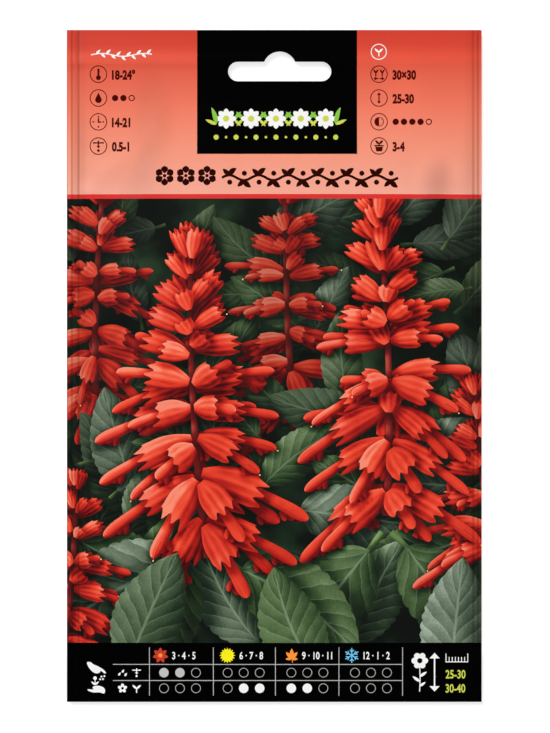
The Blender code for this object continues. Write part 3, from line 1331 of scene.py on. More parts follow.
@dataclass
class BloomPicture:
    """The front's picture: spires of scarlet bells over toothed, quilted leaves."""

    far_spires: tuple[Spire, ...] = (
        Spire((5.0, -16.0), (3.0, 47.0), 9, 17.0, seed=5, depth=0.42),
        Spire((-43.0, -14.0), (-41.0, 46.0), 9, 18.0, seed=16, depth=0.25),
    )
    near_spires: tuple[Spire, ...] = (
        Spire((55.0, -62.0), (48.5, -4.0), 8, 19.0, seed=6, depth=0.08),
        Spire((-52.0, -74.0), (-48.0, -28.0), 7, 17.0, seed=9, bend=-0.05, depth=0.04),
        Spire((27.0, -36.0), (25.0, 37.0), 10, 23.0, seed=8, bend=-0.04),
        Spire((-16.0, -46.0), (-20.0, 30.0), 10, 24.5, seed=7, bend=0.04),
    )
    far_leaves: int = 60
    mid_leaves: int = 30
    seed: int = 11

    FRONT_LEAVES = (
        (-36, -70, 70, 38), (40, -62, 108, 34), (2, -34, -8, 34), (-2, -70, 118, 34),
        (52, -40, 196, 34), (-52, -40, -18, 34), (16, -70, 62, 32), (-20, -44, -104, 32),
        (28, -40, -42, 42), (-18, -44, -150, 42), (26, -40, -128, 44), (-12, -46, -36, 40),
    )
    LOWEST_LEAVES = (-37, -76, 66, 34), (12, -78, 112, 32), (42, -80, 84, 34)
    SPREAD = 54.0

    def __post_init__(self) -> None:
        """Start the leaves' small differences."""
        self.draw = np.random.default_rng(self.seed)

    def leaf(
        self, base: Spot, angle: float, length: float, width: float, depth: float = 0.0
    ) -> Shapes:
        """Return one leaf and its stalk.

        Args:
            base: Where the stalk starts.
            angle: Which way it points, in degrees.
            length: From stalk to tip.
            width: Half its width, as a part of its length.
            depth: How far back in the picture it is.

        Returns:
            The stalk and the leaf.
        """
        way, root = heading(math.radians(angle)), np.asarray(base, float)
        bend, tone = self.draw.uniform(-0.16, 0.16), self.draw.uniform(0.0, 1.0)
        neck = root + way * length * 0.12
        stalk = blade(root, neck + way, length * 0.022, Profile.STEM, Ink.STEM, steps=3,
                      tone=1.0, depth=depth)
        face = blade(neck, root + way * length, length * width, Profile.LEAF, Ink.LEAF,
                     bend=bend, steps=52, teeth=0.06, tooth_count=13, tone=tone,
                     shadow=2.4, depth=depth, lift=self.draw.uniform(0.8, 1.1))
        return [stalk, face]

    def scattered(self, count: int, heights: Spot, lengths: Spot, depths: Spot) -> Shapes:
        """Return leaves scattered over part of the picture, the furthest first.

        Args:
            count: How many.
            heights: The lowest and the highest place of their stalks.
            lengths: The shortest and the longest.
            depths: The depth of the first and of the last.

        Returns:
            Their shapes.
        """
        made: Shapes = []
        for part in np.arange(count) / (count - 1):
            base = (self.draw.uniform(-self.SPREAD, self.SPREAD), self.draw.uniform(*heights))
            angle, length = 90 + self.draw.uniform(-120, 120), self.draw.uniform(*lengths)
            depth = depths[0] + (depths[1] - depths[0]) * part
            made += self.leaf(base, angle, length, self.draw.uniform(0.24, 0.32), depth)
        return made

    def shapes(self) -> Shapes:
        """Return the picture's shapes from the back to the front."""
        made = [rectangle(-RIGHT, RIGHT, PICTURE_BOTTOM, PICTURE_TOP, Ink.GROUND)]
        made += self.scattered(self.far_leaves, (-60, 36), (16, 30), (0.74, 0.4))
        for spire in self.far_spires:
            made += spire.shapes()
        made += self.scattered(self.mid_leaves, (-62, -12), (18, 30), (0.5, 0.15))
        for *base, angle, length in self.FRONT_LEAVES:
            made += self.leaf(base, angle, length, self.draw.uniform(0.30, 0.36))
        for spire in self.near_spires:
            made += spire.shapes()
        for *base, angle, length in self.LOWEST_LEAVES:
            made += self.leaf(base, angle, length, 0.34)
        return made


@dataclass
class Header:
    """The coral header: a black panel round the hanging slot, and rows of signs beside it."""

    panel: tuple[float, float, float] = (-18.6, 19.95, 51.05)
    rule_top: float = 41.36
    ring: float = 2.0
    ring_line: float = 0.22
    columns: Spot = (-42.4, 25.25)
    rows: tuple[float, ...] = (70.35, 64.6, 58.85, 53.0)
    note_gap: float = 3.25
    note_height: float = 2.4

    def ground(self, side: float = 1.0) -> Shapes:
        """Return the header's coral, its crimson rule and the black panel. Side -1 mirrors it."""
        *ends, low = self.panel
        left, right = sorted(side * end for end in ends)
        return [
            rectangle(-RIGHT, RIGHT, self.rule_top, TOP, Ink.CORAL),
            rectangle(-RIGHT, RIGHT, PICTURE_TOP, self.rule_top, Ink.CRIMSON_RULE),
            rectangle(left, right, low, TOP, Ink.BLACK),
        ]

    def dots(self, x: float, y: float, filled: int, total: int) -> Shapes:
        """Return a scale of dots of which the first ones are filled."""
        radius, ink = 0.32 * self.note_height, Ink.MAROON
        places = [x + radius + number * 2.6 * radius for number in range(total)]
        made = [disc(place, y, radius, ink) for place in places[:filled]]
        return made + [hoop(place, y, radius - 0.13, 0.26, ink) for place in places[filled:]]

    def notes(self, figures: Figures) -> Shapes:
        """Return the two columns of rings with signs, and the notes or scales beside them."""
        ink, tall = Ink.MAROON, self.note_height
        left = (Sign.warm, "18-24°"), (Sign.drop, (2, 3)), (Sign.clock, "14-21"), (Sign.depth, "0.5-1")
        right = (Sign.spacing, "30×30"), (Sign.tall, "25-30"), (Sign.half_sun, (4, 5)), (Sign.pot, "3-4")
        made: Shapes = []
        for x, column in zip(self.columns, (left, right)):
            for y, (sign, note) in zip(self.rows, column):
                made.append(hoop(x, y, self.ring, self.ring_line, ink))
                made += sign(Sign(x, y, 0.70 * self.ring, ink))
                start = x + self.note_gap
                if isinstance(note, str):
                    made.append(figures.print(note, start, y - tall / 2, tall, ink))
                else:
                    made += self.dots(start, y, *note)
        return made

    def top_marks(self) -> Shapes:
        """Return the white sprig and the white ring with a leaf above the two columns."""
        u = np.linspace(0.0, 1.0, 25)
        line = np.stack([-44.2 + 14.7 * u, 75.0 + 0.35 * np.sin(u * 9.0)], 1)
        made = [stroke(line, 0.26, Ink.WHITE)]
        for number in range(1, 12):
            spot = line[number * 2]
            rise = 1.05 if number % 2 else -1.0
            made.append(blade(spot, spot + (1.05, rise), 0.42, Profile.LEAF, Ink.WHITE, steps=7))
        x, y = 25.2, 75.75
        made.append(hoop(x, y, 1.83, self.ring_line, Ink.WHITE))
        return made + Sign(x, y, 1.15, Ink.WHITE).sprout()

    def panel_flowers(self) -> Shapes:
        """Return the row of white blossoms and lime leaves on the panel, over a dotted rule."""
        made: Shapes = []
        for number in range(5):
            x = -11.6 + 6.0 * number
            for sign in (-1, 1):
                if (number, sign) in ((0, -1), (4, 1)):
                    continue
                root, upper, lower = x + sign * 2.0, x + sign * 3.6, x + sign * 3.5
                made += [
                    blade((root, 59.6), (upper, 61.3), 0.62, Profile.LEAF, Ink.LEAF_GREEN, steps=7),
                    blade((root, 59.4), (lower, 57.8), 0.5, Profile.LEAF, Ink.LIME, steps=7),
                ]
            made += spray(x, 59.6, 2.5, 0.66, 8, Profile.PETAL, Ink.WHITE, inner=0.4)
            made.append(disc(x, 59.6, 0.75, Ink.LIME))
        for sign in (-1, 1):
            x, bend = 0.4 + sign * 14.4, 0.12 * sign
            made += [
                blade((x, 58.2), (x + sign * 1.2, 62.4), 0.8, Profile.LEAF, Ink.LEAF_GREEN, bend=bend),
                blade((x, 58.2), (x + sign * 2.6, 59.4), 0.6, Profile.LEAF, Ink.LIME),
            ]
        for number in range(13):
            x = 0.4 + 2.4 * (number - 6)
            made.append(disc(x, 55.1, 0.62 if number % 2 == 0 else 0.3, Ink.LIME, 16))
        return made

    def border(self) -> Shapes:
        """Return the dark border under the panel: bold blossoms, then a finer vine of leaves."""
        ink = Ink.TEXT_BLACK
        made: Shapes = []
        for x in (-26.4, -21.3, -16.2):
            made += spray(x, 45.8, 2.4, 0.86, 6, Profile.PETAL, ink, inner=0.55)
            made.append(disc(x, 45.8, 0.42, ink))
        u = np.linspace(0.0, 1.0, 97)
        line = np.stack([-12.6 + 42.4 * u, 45.3 + 0.62 * np.sin(u * 12 * math.pi)], 1)
        made.append(stroke(line, 0.62, ink))
        for number in range(12):
            spot = line[number * 8 + 4]
            rise = -1.0 if number % 2 else 1.0
            tip = spot + (1.75, rise * 1.65)
            made.append(blade(spot, tip, 0.95, Profile.LEAF, ink, bend=0.2 * rise, steps=8))
            made.append(blade(spot, spot + (-1.55, rise * 1.55), 0.82, Profile.LEAF, ink, steps=8))
            made.append(disc(spot[0] + 0.1, spot[1] - rise * 1.7, 0.62, ink, 14))
        return made

    def shapes(self, figures: Figures) -> Shapes:
        """Return the header's shapes, lowest first."""
        marks = self.notes(figures) + self.top_marks() + self.panel_flowers() + self.border()
        return self.ground() + marks


@dataclass
class Calendar:
    """The black band at the foot: circles for the twelve months in two rows, and a height."""

    across: tuple[float, ...] = (-30.1, -14.7, 0.27, 15.58, 30.92)
    left: float = -38.9
    rows: tuple[float, float] = (-73.94, -77.72)
    rules: tuple[float, float] = (-71.94, -75.85)
    circle: float = 1.15
    line: float = 0.16
    cells: tuple[float, ...] = (-22.75, -7.38, 7.96, 23.3)
    month_gap: float = 3.86
    sown: tuple[int, ...] = (0, 1)
    in_bloom: tuple[int, ...] = (4, 5, 6, 7)

    def grid(self) -> Shapes:
        """Return the table's rules."""
        low, high, half = -79.5, -67.8, self.line / 2
        made = [rectangle(x - half, x + half, low, high, Ink.GREY) for x in self.across]
        end = self.across[-1]
        return made + [rectangle(self.left, end, y - half, y + half, Ink.GREY) for y in self.rules]

    def months(self) -> Shapes:
        """Return the circles, filled where the month is one to sow in or one of bloom."""
        made: Shapes = []
        for y, months, ink in zip(self.rows, (self.sown, self.in_bloom), (Ink.GREY, Ink.WHITE)):
            for month in range(12):
                x = self.cells[month // 3] + self.month_gap * (month % 3 - 1)
                ring = hoop(x, y, self.circle - 0.06, 0.13, Ink.GREY)
                made.append(disc(x, y, self.circle, ink) if month in months else ring)
        return made

    def seasons(self, figures: Figures) -> Shapes:
        """Return each season's sign and the numbers of its months."""
        y = -69.75
        made = Sign(-27.45, y, 1.9, Ink.RED).blossom(Ink.ORANGE, 7)
        made += Sign(-11.3, y, 1.9, Ink.YELLOW).star()
        made += Sign(4.2, y, 1.75, Ink.ORANGE).autumn_leaf()
        made += Sign(18.67, y, 1.8, Ink.BLUE).snow()
        texts = "3 · 4 · 5", "6 · 7 · 8", "9 · 10 · 11", "12 · 1 · 2"
        for x, text in zip((-24.6, -8.4, 6.7, 21.5), texts):
            made.append(figures.print(text, x, y - 0.9, 1.85, Ink.WHITE))
        return made

    def labels(self) -> Shapes:
        """Return the signs that stand for the two rows."""
        made = Sign(-43.0, -73.1, 2.4, Ink.WHITE).sowing_hand()
        made += Sign(-43.0, -77.3, 2.2, Ink.WHITE).holding_hand()
        made += Sign(-36.6, self.rows[0], 1.3, Ink.WHITE).seeds()
        made += Sign(-33.2, self.rows[0], 1.1, Ink.WHITE).depth()
        made += Sign(-36.6, self.rows[1], 1.2, Ink.WHITE).blossom(Ink.BLACK)
        made += Sign(-33.2, self.rows[1], 1.15, Ink.WHITE).sprout()
        return made

    def height(self, figures: Figures) -> Shapes:
        """Return the flower, the upright arrow and the heights beside it."""
        white = Ink.WHITE
        made = [stroke([(35.07, -72.4), (35.15, -75.5), (35.05, -78.5)], 0.24, white)]
        leaves = (-74.9, (36.8, -73.7), 0.5), (-76.1, (33.3, -74.8), 0.5), (-77.2, (36.5, -76.2), 0.45)
        for y, tip, half in leaves:
            made.append(blade((35.1, y), tip, half, Profile.LEAF, white, steps=7))
        made += [disc(x, y, 0.74, white) for x, y in circle(35.07, -71.04, 1.28, 6)]
        made.append(disc(35.07, -71.04, 0.62, Ink.BLACK))
        made += [
            stroke([(38.64, -70.2), (38.64, -77.6)], 0.36, white),
            polygon([(38.64, -69.15), (37.4, -70.5), (39.88, -70.5)], white),
            polygon([(38.64, -78.5), (37.4, -77.2), (39.88, -77.2)], white),
        ]
        for number in range(8):
            x = 41.4 + 0.75 * number
            tall = 1.9 if number in (0, 7) else 1.1
            made.append(rectangle(x - 0.1, x + 0.1, -71.25, -71.25 + tall, white))
        made.append(rectangle(41.3, 46.75, -71.45, -71.25, white))
        made.append(figures.print("25-30", 41.3, -75.3, 2.1, Ink.LIME))
        made.append(figures.print("30-40", 41.3, -78.7, 2.1, Ink.LIME))
        return made

    def shapes(self, figures: Figures) -> Shapes:
        """Return the band's shapes, lowest first."""
        made = [rectangle(-RIGHT, RIGHT, -TOP, PICTURE_BOTTOM, Ink.BLACK)]
        made += self.grid() + self.months() + self.seasons(figures)
        return made + self.labels() + self.height(figures)


@dataclass
class BackPrint:
    """The back's print: the coral header again, then signs, numbers and how to sow."""

    header: Header = field(default_factory=Header)
    foot: float = -70.0
    table_top: float = -12.0

    def facts(self, figures: Figures) -> Shapes:
        """Return four framed signs with their numbers."""
        ink = Ink.TEXT_BLACK
        signs = (Sign.depth, "0.5"), (Sign.warm, "18-24"), (Sign.spacing, "30×30"), (Sign.tall, "25-30")
        made: Shapes = []
        for number, (sign, text) in enumerate(signs):
            x = -35.0 + 23.3 * number
            made.append(rectangle(x - 9.6, x + 9.6, 9.0, 32.0, Ink.CORAL_PALE))
            made.append(disc(x, 23.6, 6.0, Ink.WHITE, 40))
            made += sign(Sign(x, 23.6, 4.2, ink))
            made.append(figures.print(text, x, 11.4, 3.0, ink, 0.5))
        return made

    def table(self, figures: Figures) -> Shapes:
        """Return the months' table: sowing, sprouting and bloom."""
        top, black, red = self.table_top, Ink.TEXT_BLACK, Ink.RED
        places = [-32.0 + 6.6 * month for month in range(12)]
        made = [rectangle(-46.0, 46.0, top, top + 8.0, Ink.CRIMSON_RULE)]
        for month, x in enumerate(places, 1):
            made.append(figures.print(str(month), x, top + 2.5, 3.0, Ink.WHITE, 0.5))
        heights = [top - 5.0 - 8.6 * row for row in range(3)]
        for y, months in zip(heights, ((4, 5), (5, 6), (7, 8, 9, 10))):
            made.append(rectangle(-46.0, 46.0, y - 4.4, y - 4.2, black))
            for month, x in enumerate(places, 1):
                shown = month in months
                made.append(disc(x, y, 1.9, red) if shown else hoop(x, y, 1.75, 0.22, black))
        sown, sprouting, bloom = heights
        made += Sign(-41.0, sown, 2.9, black).seeds() + Sign(-41.0, sprouting, 2.9, black).sprout()
        return made + Sign(-41.0, bloom, 2.9, red).blossom(Ink.YELLOW)

    def sowing(self, figures: Figures) -> Shapes:
        """Return the four steps from seed to bloom over a strip of soil."""
        ground = -55.5
        made = [rectangle(-46.0, 46.0, -64.5, ground, Ink.SOIL)]
        draw = np.random.default_rng(3)
        for x, y in draw.uniform((-45, -64), (45, ground - 0.8), (70, 2)):
            made.append(disc(x, y, draw.uniform(0.2, 0.5), Ink.SOIL_LIGHT, 7))
        for number, x in enumerate((-36.0, -13.0, 11.0, 35.0)):
            made.append(disc(x - 7.5, -41.6, 2.2, Ink.CRIMSON_RULE))
            made.append(figures.print(str(number + 1), x - 7.5, -42.75, 2.3, Ink.WHITE, 0.5))
            tall = (0.0, 4.0, 8.5, 10.5)[number]
            if number == 0:
                made += Sign(x, ground - 3.0, 2.2, Ink.CREAM).seeds()
                continue
            made.append(stroke([(x, ground - 2.5), (x, ground + tall)], 0.55, Ink.LEAF_GREEN))
            for level in range(number):
                y = ground + tall * (0.35 + 0.3 * level)
                made += Sign(x, y, 4.0, Ink.LEAF_GREEN).leaves(0.0, 0.0, 1.0, 0.5, 0.3)
            if number == 3:
                made += Sign(x, ground + tall + 1.5, 3.2, Ink.RED).blossom(Ink.YELLOW, 6)
        return made

    def shapes(self, figures: Figures) -> Shapes:
        """Return the back's shapes, lowest first."""
        made = [rectangle(-RIGHT, RIGHT, self.foot, TOP, Ink.CREAM), *self.header.ground(-1.0)]
        made.append(rectangle(-RIGHT, RIGHT, -TOP, self.foot, Ink.BLACK))
        made += self.header.border() + self.facts(figures) + self.table(figures) + self.sowing(figures)
        for number in range(25):
            made.append(disc(3.6 * (number - 12), -75.5, 0.5, Ink.LIME, 14))
        return made


@dataclass
class SheetForm:
    """The height of one sheet's outer face, and which way the face points.

    On its bulge it has the crimp under the slot, seal lines, folds and puckers.
    """

    outward: float
    plane: float
    bulge: float
    runs: tuple[float, float, float]
    folds: tuple[Fold, ...]
    wave: float = 0.10
    crimp: float = 0.18
    puckers: float = 0.10

    CRIMP_Y = TOP - 8.2
    CRIMP_ABOVE = 3.2
    CRIMP_BELOW = 2.0
    GROOVES = ((-48.78, -0.05), (-47.3, -0.08), (49.1, -0.05), (47.9, -0.08))
    GROOVE_HALF = 0.3
    PUCKER_REACH = 2.5

    def relief(self, x: Floats, y: Floats) -> Floats:
        """Return how far the relief stands out at places on the packet.

        The crimp is a low ridge right across, round above its crest, steep just below it and
        weaker to the right. A groove is a bell curve of the distance from its line. Puckers
        are waves along the side seals that fade inward, and the film's own waviness is the
        product of two slow sine waves.
        """
        from_side = RIGHT - np.abs(x)
        off = y - self.CRIMP_Y
        above = (1.0 - np.clip(off / self.CRIMP_ABOVE, 0.0, 1.0) ** 2) ** 2
        below = (1.0 - np.clip(-off / self.CRIMP_BELOW, 0.0, 1.0)) ** 2
        rise = self.crimp * (0.65 - 0.35 * x / RIGHT) * np.where(off > 0, above, below)
        for place, height in self.GROOVES:
            rise = rise + height * np.exp(-(((x - place) / self.GROOVE_HALF) ** 2))
        inward = np.clip(from_side - SIDE_SEAL, 0.0, None)
        middle = np.clip((y + 72.0) / 12.0, 0.0, 1.0) * np.clip((58.0 - y) / 14.0, 0.0, 1.0)
        ripple = np.sin(y * 0.71 + 1.3 * np.sin(y * 0.13) + np.sign(x) * 1.1)
        reach = self.PUCKER_REACH
        rise = rise + self.puckers * ripple * middle * inward / reach * np.exp(1.0 - inward / reach)
        calm = np.clip(inward / 6.0, 0.0, 1.0) * middle
        rise = rise + self.wave * calm * np.sin(x * 0.11 + 0.8) * np.sin(y * 0.09 + 0.05 * x)
        for fold in self.folds:
            rise = rise + fold.rise(x, y)
        return rise

    def height(self, x: Floats, y: Floats) -> Floats:
        """Return the outer face's height over the table.

        Each sheet lies at its sealed rim's level, and bulges from the side seals, the bottom
        seal and the sealed header along parabolas that flatten out.

        Args:
            x: Places across the packet.
            y: Places up the packet.

        Returns:
            Heights in millimetres.
        """
        from_edges = (RIGHT - np.abs(x) - SIDE_SEAL, y + TOP - BOTTOM_SEAL, TOP - HEADER_SEAL - y)
        bulge = np.ones_like(x)
        for distance, run in zip(from_edges, self.runs):
            bulge = bulge * (1.0 - (1.0 - np.clip(distance / run, 0.0, 1.0)) ** 2)
        height = self.plane + self.outward * (self.bulge * bulge + self.relief(x, y))
        return height if self.outward > 0 else np.maximum(height, 0.0)

    def normal(self, x: Floats, y: Floats) -> Floats:
        """Return the outer face's normals from the slope of its height."""
        reach = 0.05
        slope_x = (self.height(x + reach, y) - self.height(x - reach, y)) / (2 * reach)
        slope_y = (self.height(x, y + reach) - self.height(x, y - reach)) / (2 * reach)
        normal = np.stack([-slope_x, -slope_y, np.ones_like(x)], 1) * self.outward
        return normal / np.linalg.norm(normal, axis=1)[:, None]


def triangulated(points: Floats, links: Ints, gap: float) -> tuple[Floats, Ints]:
    """Cut a plane into triangles that keep the given segments, turned anticlockwise.

    Args:
        points: Points in millimetres.
        links: Segments that no triangle may cross.
        gap: Points nearer than this become one.

    Returns:
        The points, with any that crossings add, and the triangles.
    """
    spots = [Vector(spot) for spot in points.tolist()]
    found, _, faces, *_ = delaunay_2d_cdt(spots, links.tolist(), [], 0, gap, False)
    made, triangles = np.array([(spot.x, spot.y) for spot in found]), np.array(faces)
    a, b, c = made[triangles].transpose(1, 0, 2)
    turn = (b[:, 0] - a[:, 0]) * (c[:, 1] - a[:, 1]) - (b[:, 1] - a[:, 1]) * (c[:, 0] - a[:, 0])
    triangles = np.where(turn[:, None] < 0, triangles[:, ::-1], triangles)
    return made, triangles[np.abs(turn) > 1e-9]


def split_links(points: Floats, links: Ints, pieces: Ints) -> Floats:
    """Cut segments into equal pieces.

    Args:
        points: Points in millimetres.
        links: Segments between them.
        pieces: How many pieces each segment gives.

    Returns:
        The start and end point of every piece.
    """
    start, run = points[links[:, 0]], points[links[:, 1]] - points[links[:, 0]]
    whole = np.repeat(np.arange(len(links)), pieces)
    number = np.arange(len(whole)) - np.repeat(np.cumsum(pieces) - pieces, pieces)
    part = np.stack([number, number + 1], 1) / pieces[whole][:, None]
    return start[whole][:, None] + part[..., None] * run[whole][:, None]


@dataclass
class Band:
    """A stretch of one sheet with its print, cut along the print's outlines.

    The print is given in the sheet's own x and y, as it is read. On the back, x runs the
    other way in the packet's frame.
    """

    name: str
    low: float
    high: float
    shapes: Shapes
    form: SheetForm
    cell: float
    slot: Shape | None = None

    GROOVE_STEPS = (-0.3, -0.12, 0.12, 0.3)
    CRIMP_STEPS = (-2.0, -1.5, -1.0, -0.6, -0.3, -0.1, 0.1, 0.6, 1.2, 1.8, 2.4)
    SHADE = 0.62
    FAR_FADE = 0.6
    SHADOW_SHIFT = (0.45, -0.55)
    SHADOW_ENDS = 2.2
    INSET = 0.25
    INNER_STEP = 2.0
    ROW_GAP, SLOT_GAP = 0.4, 0.25
    # The print takes nearly the whole square map, and the plain faces a strip below it
    MAP_SIZES = np.array([(0.99, 0.93), (0.48, 0.03), (0.48, 0.03)])
    MAP_STARTS = np.array([(0.005, 0.06), (0.51, 0.01), (0.01, 0.01)])
    KINK_LINES = (SIDE_SEAL - RIGHT, 1.2 - RIGHT, RIGHT - 0.9, RIGHT - SIDE_SEAL)
    KINK_ROWS = (BOTTOM_SEAL - TOP, TOP - HEADER_SEAL, TOP - 10.2, TOP - 9.0, TOP - 8.2, TOP - 6.6)

    def grid(self, step: float) -> tuple[Floats, Floats]:
        """Return even columns and rows from edge to edge, about a step apart."""
        across = np.linspace(-RIGHT, RIGHT, round(WIDTH / step) + 1)
        up = np.linspace(self.low, self.high, max(round((self.high - self.low) / step), 1) + 1)
        return across, up

    def rim(self) -> Shape:
        """Return the band's own outline, with a point every cell."""
        across, up = self.grid(self.cell)
        sides = (across[:-1], self.low), (RIGHT, up[:-1]), (across[:0:-1], self.high), (-RIGHT, up[:0:-1])
        outline = [np.stack(np.broadcast_arrays(*side), 1) for side in sides]
        return polygon(np.concatenate(outline), Ink.PAPER_EDGE)

    def fill(self, step: float, lines: Sequence[float], rows: Sequence[float]) -> Floats:
        """Return an even grid of points with further columns and rows.

        Args:
            step: The grid's step.
            lines: Further columns' x in the packet's frame.
            rows: Further rows.

        Returns:
            The points inside the band and clear of the slot.
        """
        across, up = self.grid(step)
        across = np.concatenate([across[1:-1], self.form.outward * np.array(lines)])
        rows = [row for row in rows if self.low + self.ROW_GAP < row < self.high - self.ROW_GAP]
        up = np.concatenate([up[1:-1], rows])
        grid = np.stack(np.meshgrid(across, up), -1).reshape(-1, 2)
        if self.slot:
            grid = grid[~self.slot.holds(grid) & (self.slot.distance(grid) > self.SLOT_GAP)]
        return grid

    def boxed(self, spots: Floats, shadows: bool) -> Iterator[tuple[int, Shape, Ints, Floats]]:
        """Go through the shapes from the lowest and find the spots in each one's box.

        Spots are sorted by height first, so that a box is a slice of them. A shape's shadow is
        its outline moved down and right, so its spots come moved back by as much.

        Args:
            spots: Places on the sheet.
            shadows: Whether the boxes are those of the shapes' shadows.

        Yields:
            The shape's number, the shape, the numbers of its spots and their places.
        """
        order = np.argsort(spots[:, 1])
        rows = spots[order]
        for number, shape in enumerate(self.shapes):
            reach = shape.shadow if shadows else 0.0
            if shadows and reach == 0.0:
                continue
            shift = reach * np.array(self.SHADOW_SHIFT)
            left, right, low, high = shape.box(self.SHADOW_ENDS * reach)
            first, last = np.searchsorted(rows[:, 1], (low + shift[1], high + shift[1]))
            slab = rows[first:last] - shift
            near = np.flatnonzero((slab[:, 0] > left) & (slab[:, 0] < right))
            if len(near):
                yield number, shape, order[first + near], slab[near]

    def top_shape(self, spots: Floats) -> Ints:
        """Return the number of the topmost shape over each spot."""
        top = np.full(len(spots), -1)
        for number, shape, which, near in self.boxed(spots, False):
            top[which[shape.holds(near)]] = number
        return top

    def visible_edges(self) -> tuple[Floats, Ints]:
        """Return the points and segments of every outline where no higher shape covers it.

        A segment longer than a cell is split, so that it follows the sheet's height.
        """
        points, links = merged([s.points for s in self.shapes], [s.links for s in self.shapes])
        owner = np.repeat(np.arange(len(self.shapes)), [len(s.links) for s in self.shapes])
        length = np.linalg.norm(points[links[:, 1]] - points[links[:, 0]], axis=1)
        pieces = np.ceil(length / self.cell).astype(int).clip(1)
        links, owner = split_links(points, links, pieces), np.repeat(owner, pieces)
        points, links = links.reshape(-1, 2), np.arange(2 * len(owner)).reshape(-1, 2)
        start, end = points[links[:, 0]], points[links[:, 1]]
        seen = np.zeros(len(links), bool)
        for spots in (start, (start + end) / 2, end):
            seen |= self.top_shape(spots) <= owner
        outside = ((start < (-RIGHT, self.low)) & (end < (-RIGHT, self.low))).any(1)
        outside |= ((start > (RIGHT, self.high)) & (end > (RIGHT, self.high))).any(1)
        links = links[seen & ~outside]
        used, links = np.unique(links, return_inverse=True)
        return points[used], links.reshape(-1, 2)

    def cut(self) -> tuple[Floats, Ints]:
        """Cut the printed face into triangles along the outlines that show.

        Returns:
            The points, and the triangles that lie on the sheet.
        """
        points, links = self.visible_edges()
        for shape in filter(None, (self.rim(), self.slot)):
            points, links = merged([points, shape.points], [links, shape.links])
        lines = [place + off for place, _ in self.form.GROOVES for off in self.GROOVE_STEPS]
        rows = [self.form.CRIMP_Y + off for off in self.CRIMP_STEPS]
        points = np.concatenate([points, self.fill(self.cell, lines, rows)])
        made, triangles = triangulated(points, links, 1e-4)
        middle = made[triangles].mean(1)
        kept = (np.abs(middle[:, 0]) < RIGHT) & (middle[:, 1] > self.low) & (middle[:, 1] < self.high)
        if self.slot:
            kept &= ~self.slot.holds(middle)
        used, triangles = np.unique(triangles[kept], return_inverse=True)
        return made[used], triangles.reshape(-1, 3)

    def cut_inside(self, rim: Floats, links: Ints) -> tuple[Floats, Ints]:
        """Cut the inner face into larger triangles that share the printed face's rim.

        Args:
            rim: The rim's points.
            links: Its segments.

        Returns:
            The rim's points with those between them, and the triangles.
        """
        grid = self.fill(self.INNER_STEP, self.KINK_LINES, self.KINK_ROWS)
        made, triangles = triangulated(np.concatenate([rim, grid]), links, 0.0)
        if self.slot:
            triangles = triangles[~self.slot.holds(made[triangles].mean(1))]
        return made, triangles

    def shade(self, spots: Floats, owner: Ints) -> Floats:
        """Return how much drawn light reaches each spot past the shapes that lie over it.

        Args:
            spots: Places on the sheet.
            owner: The shape that each belongs to.

        Returns:
            The share of the light. A shadow fades with a bell curve of the distance.
        """
        light = np.ones(len(spots))
        for number, shape, which, near in self.boxed(spots, True):
            under = owner[which] < number
            which, near = which[under], near[under]
            gap = np.where(shape.holds(near), 0.0, shape.distance(near))
            dark = self.SHADE * np.exp(-((gap / shape.shadow) ** 2))
            light[which] *= 1.0 - dark * (1.0 - self.FAR_FADE * shape.depth)
        return light

    def drawn_values(self, points: Floats, triangles: Ints, owner: Ints) -> tuple[Floats, Floats]:
        """Work out what each triangle's corner shows of its shape.

        Args:
            points: The band's points.
            triangles: Its triangles.
            owner: The shape of each triangle.

        Returns:
            For each corner, along, across and tone, and side, shade and depth.
        """
        corner = triangles.reshape(-1)
        key, wedge = np.unique(np.repeat(owner, 3) * len(points) + corner, return_inverse=True)
        shape_of, vertex = key // len(points), key % len(points)
        middle = np.repeat(points[triangles].mean(1), 3, axis=0)
        inner = np.stack([np.bincount(wedge, middle[:, axis]) for axis in (0, 1)], 1)
        inner /= np.bincount(wedge)[:, None]
        spots = points[vertex]
        drawn, lit = np.zeros((len(key), 3)), np.zeros((len(key), 3))
        lit[:, 1] = self.shade(spots + self.INSET * (inner - spots), shape_of)
        bounds = np.searchsorted(shape_of, np.arange(len(self.shapes) + 1))
        for shape, first, last in zip(self.shapes, bounds, bounds[1:]):
            place, light = drawn[first:last], lit[first:last]
            light[:, 2] = shape.depth
            if len(place) and shape.spine is not None:
                place[:, 0], place[:, 1], light[:, 0] = shape.drawn(spots[first:last])
                place[:, 2] = shape.tone
                light[:, 1] *= shape.lift
        return drawn[wedge], lit[wedge]

    def build(self, materials: dict[Ink, Material]) -> Object:
        """Make the band's mesh: its printed face, its inner face and the cut edge round it.

        Args:
            materials: The material of each ink.

        Returns:
            The band as an object.
        """
        points, triangles = self.cut()
        owner = self.top_shape(points[triangles].mean(1))
        drawn, lit = self.drawn_values(points, triangles, owner)

        sides = triangles[:, [0, 1, 1, 2, 2, 0]].reshape(-1, 2)
        code = np.sort(sides, axis=1) @ (len(points), 1)
        _, where, count = np.unique(code, return_index=True, return_counts=True)
        rim = sides[where[count == 1]]
        rim_points, inner_rim = np.unique(rim, return_inverse=True)
        inner_rim = inner_rim.reshape(-1, 2)
        coarse, inner = self.cut_inside(points[rim_points], inner_rim)

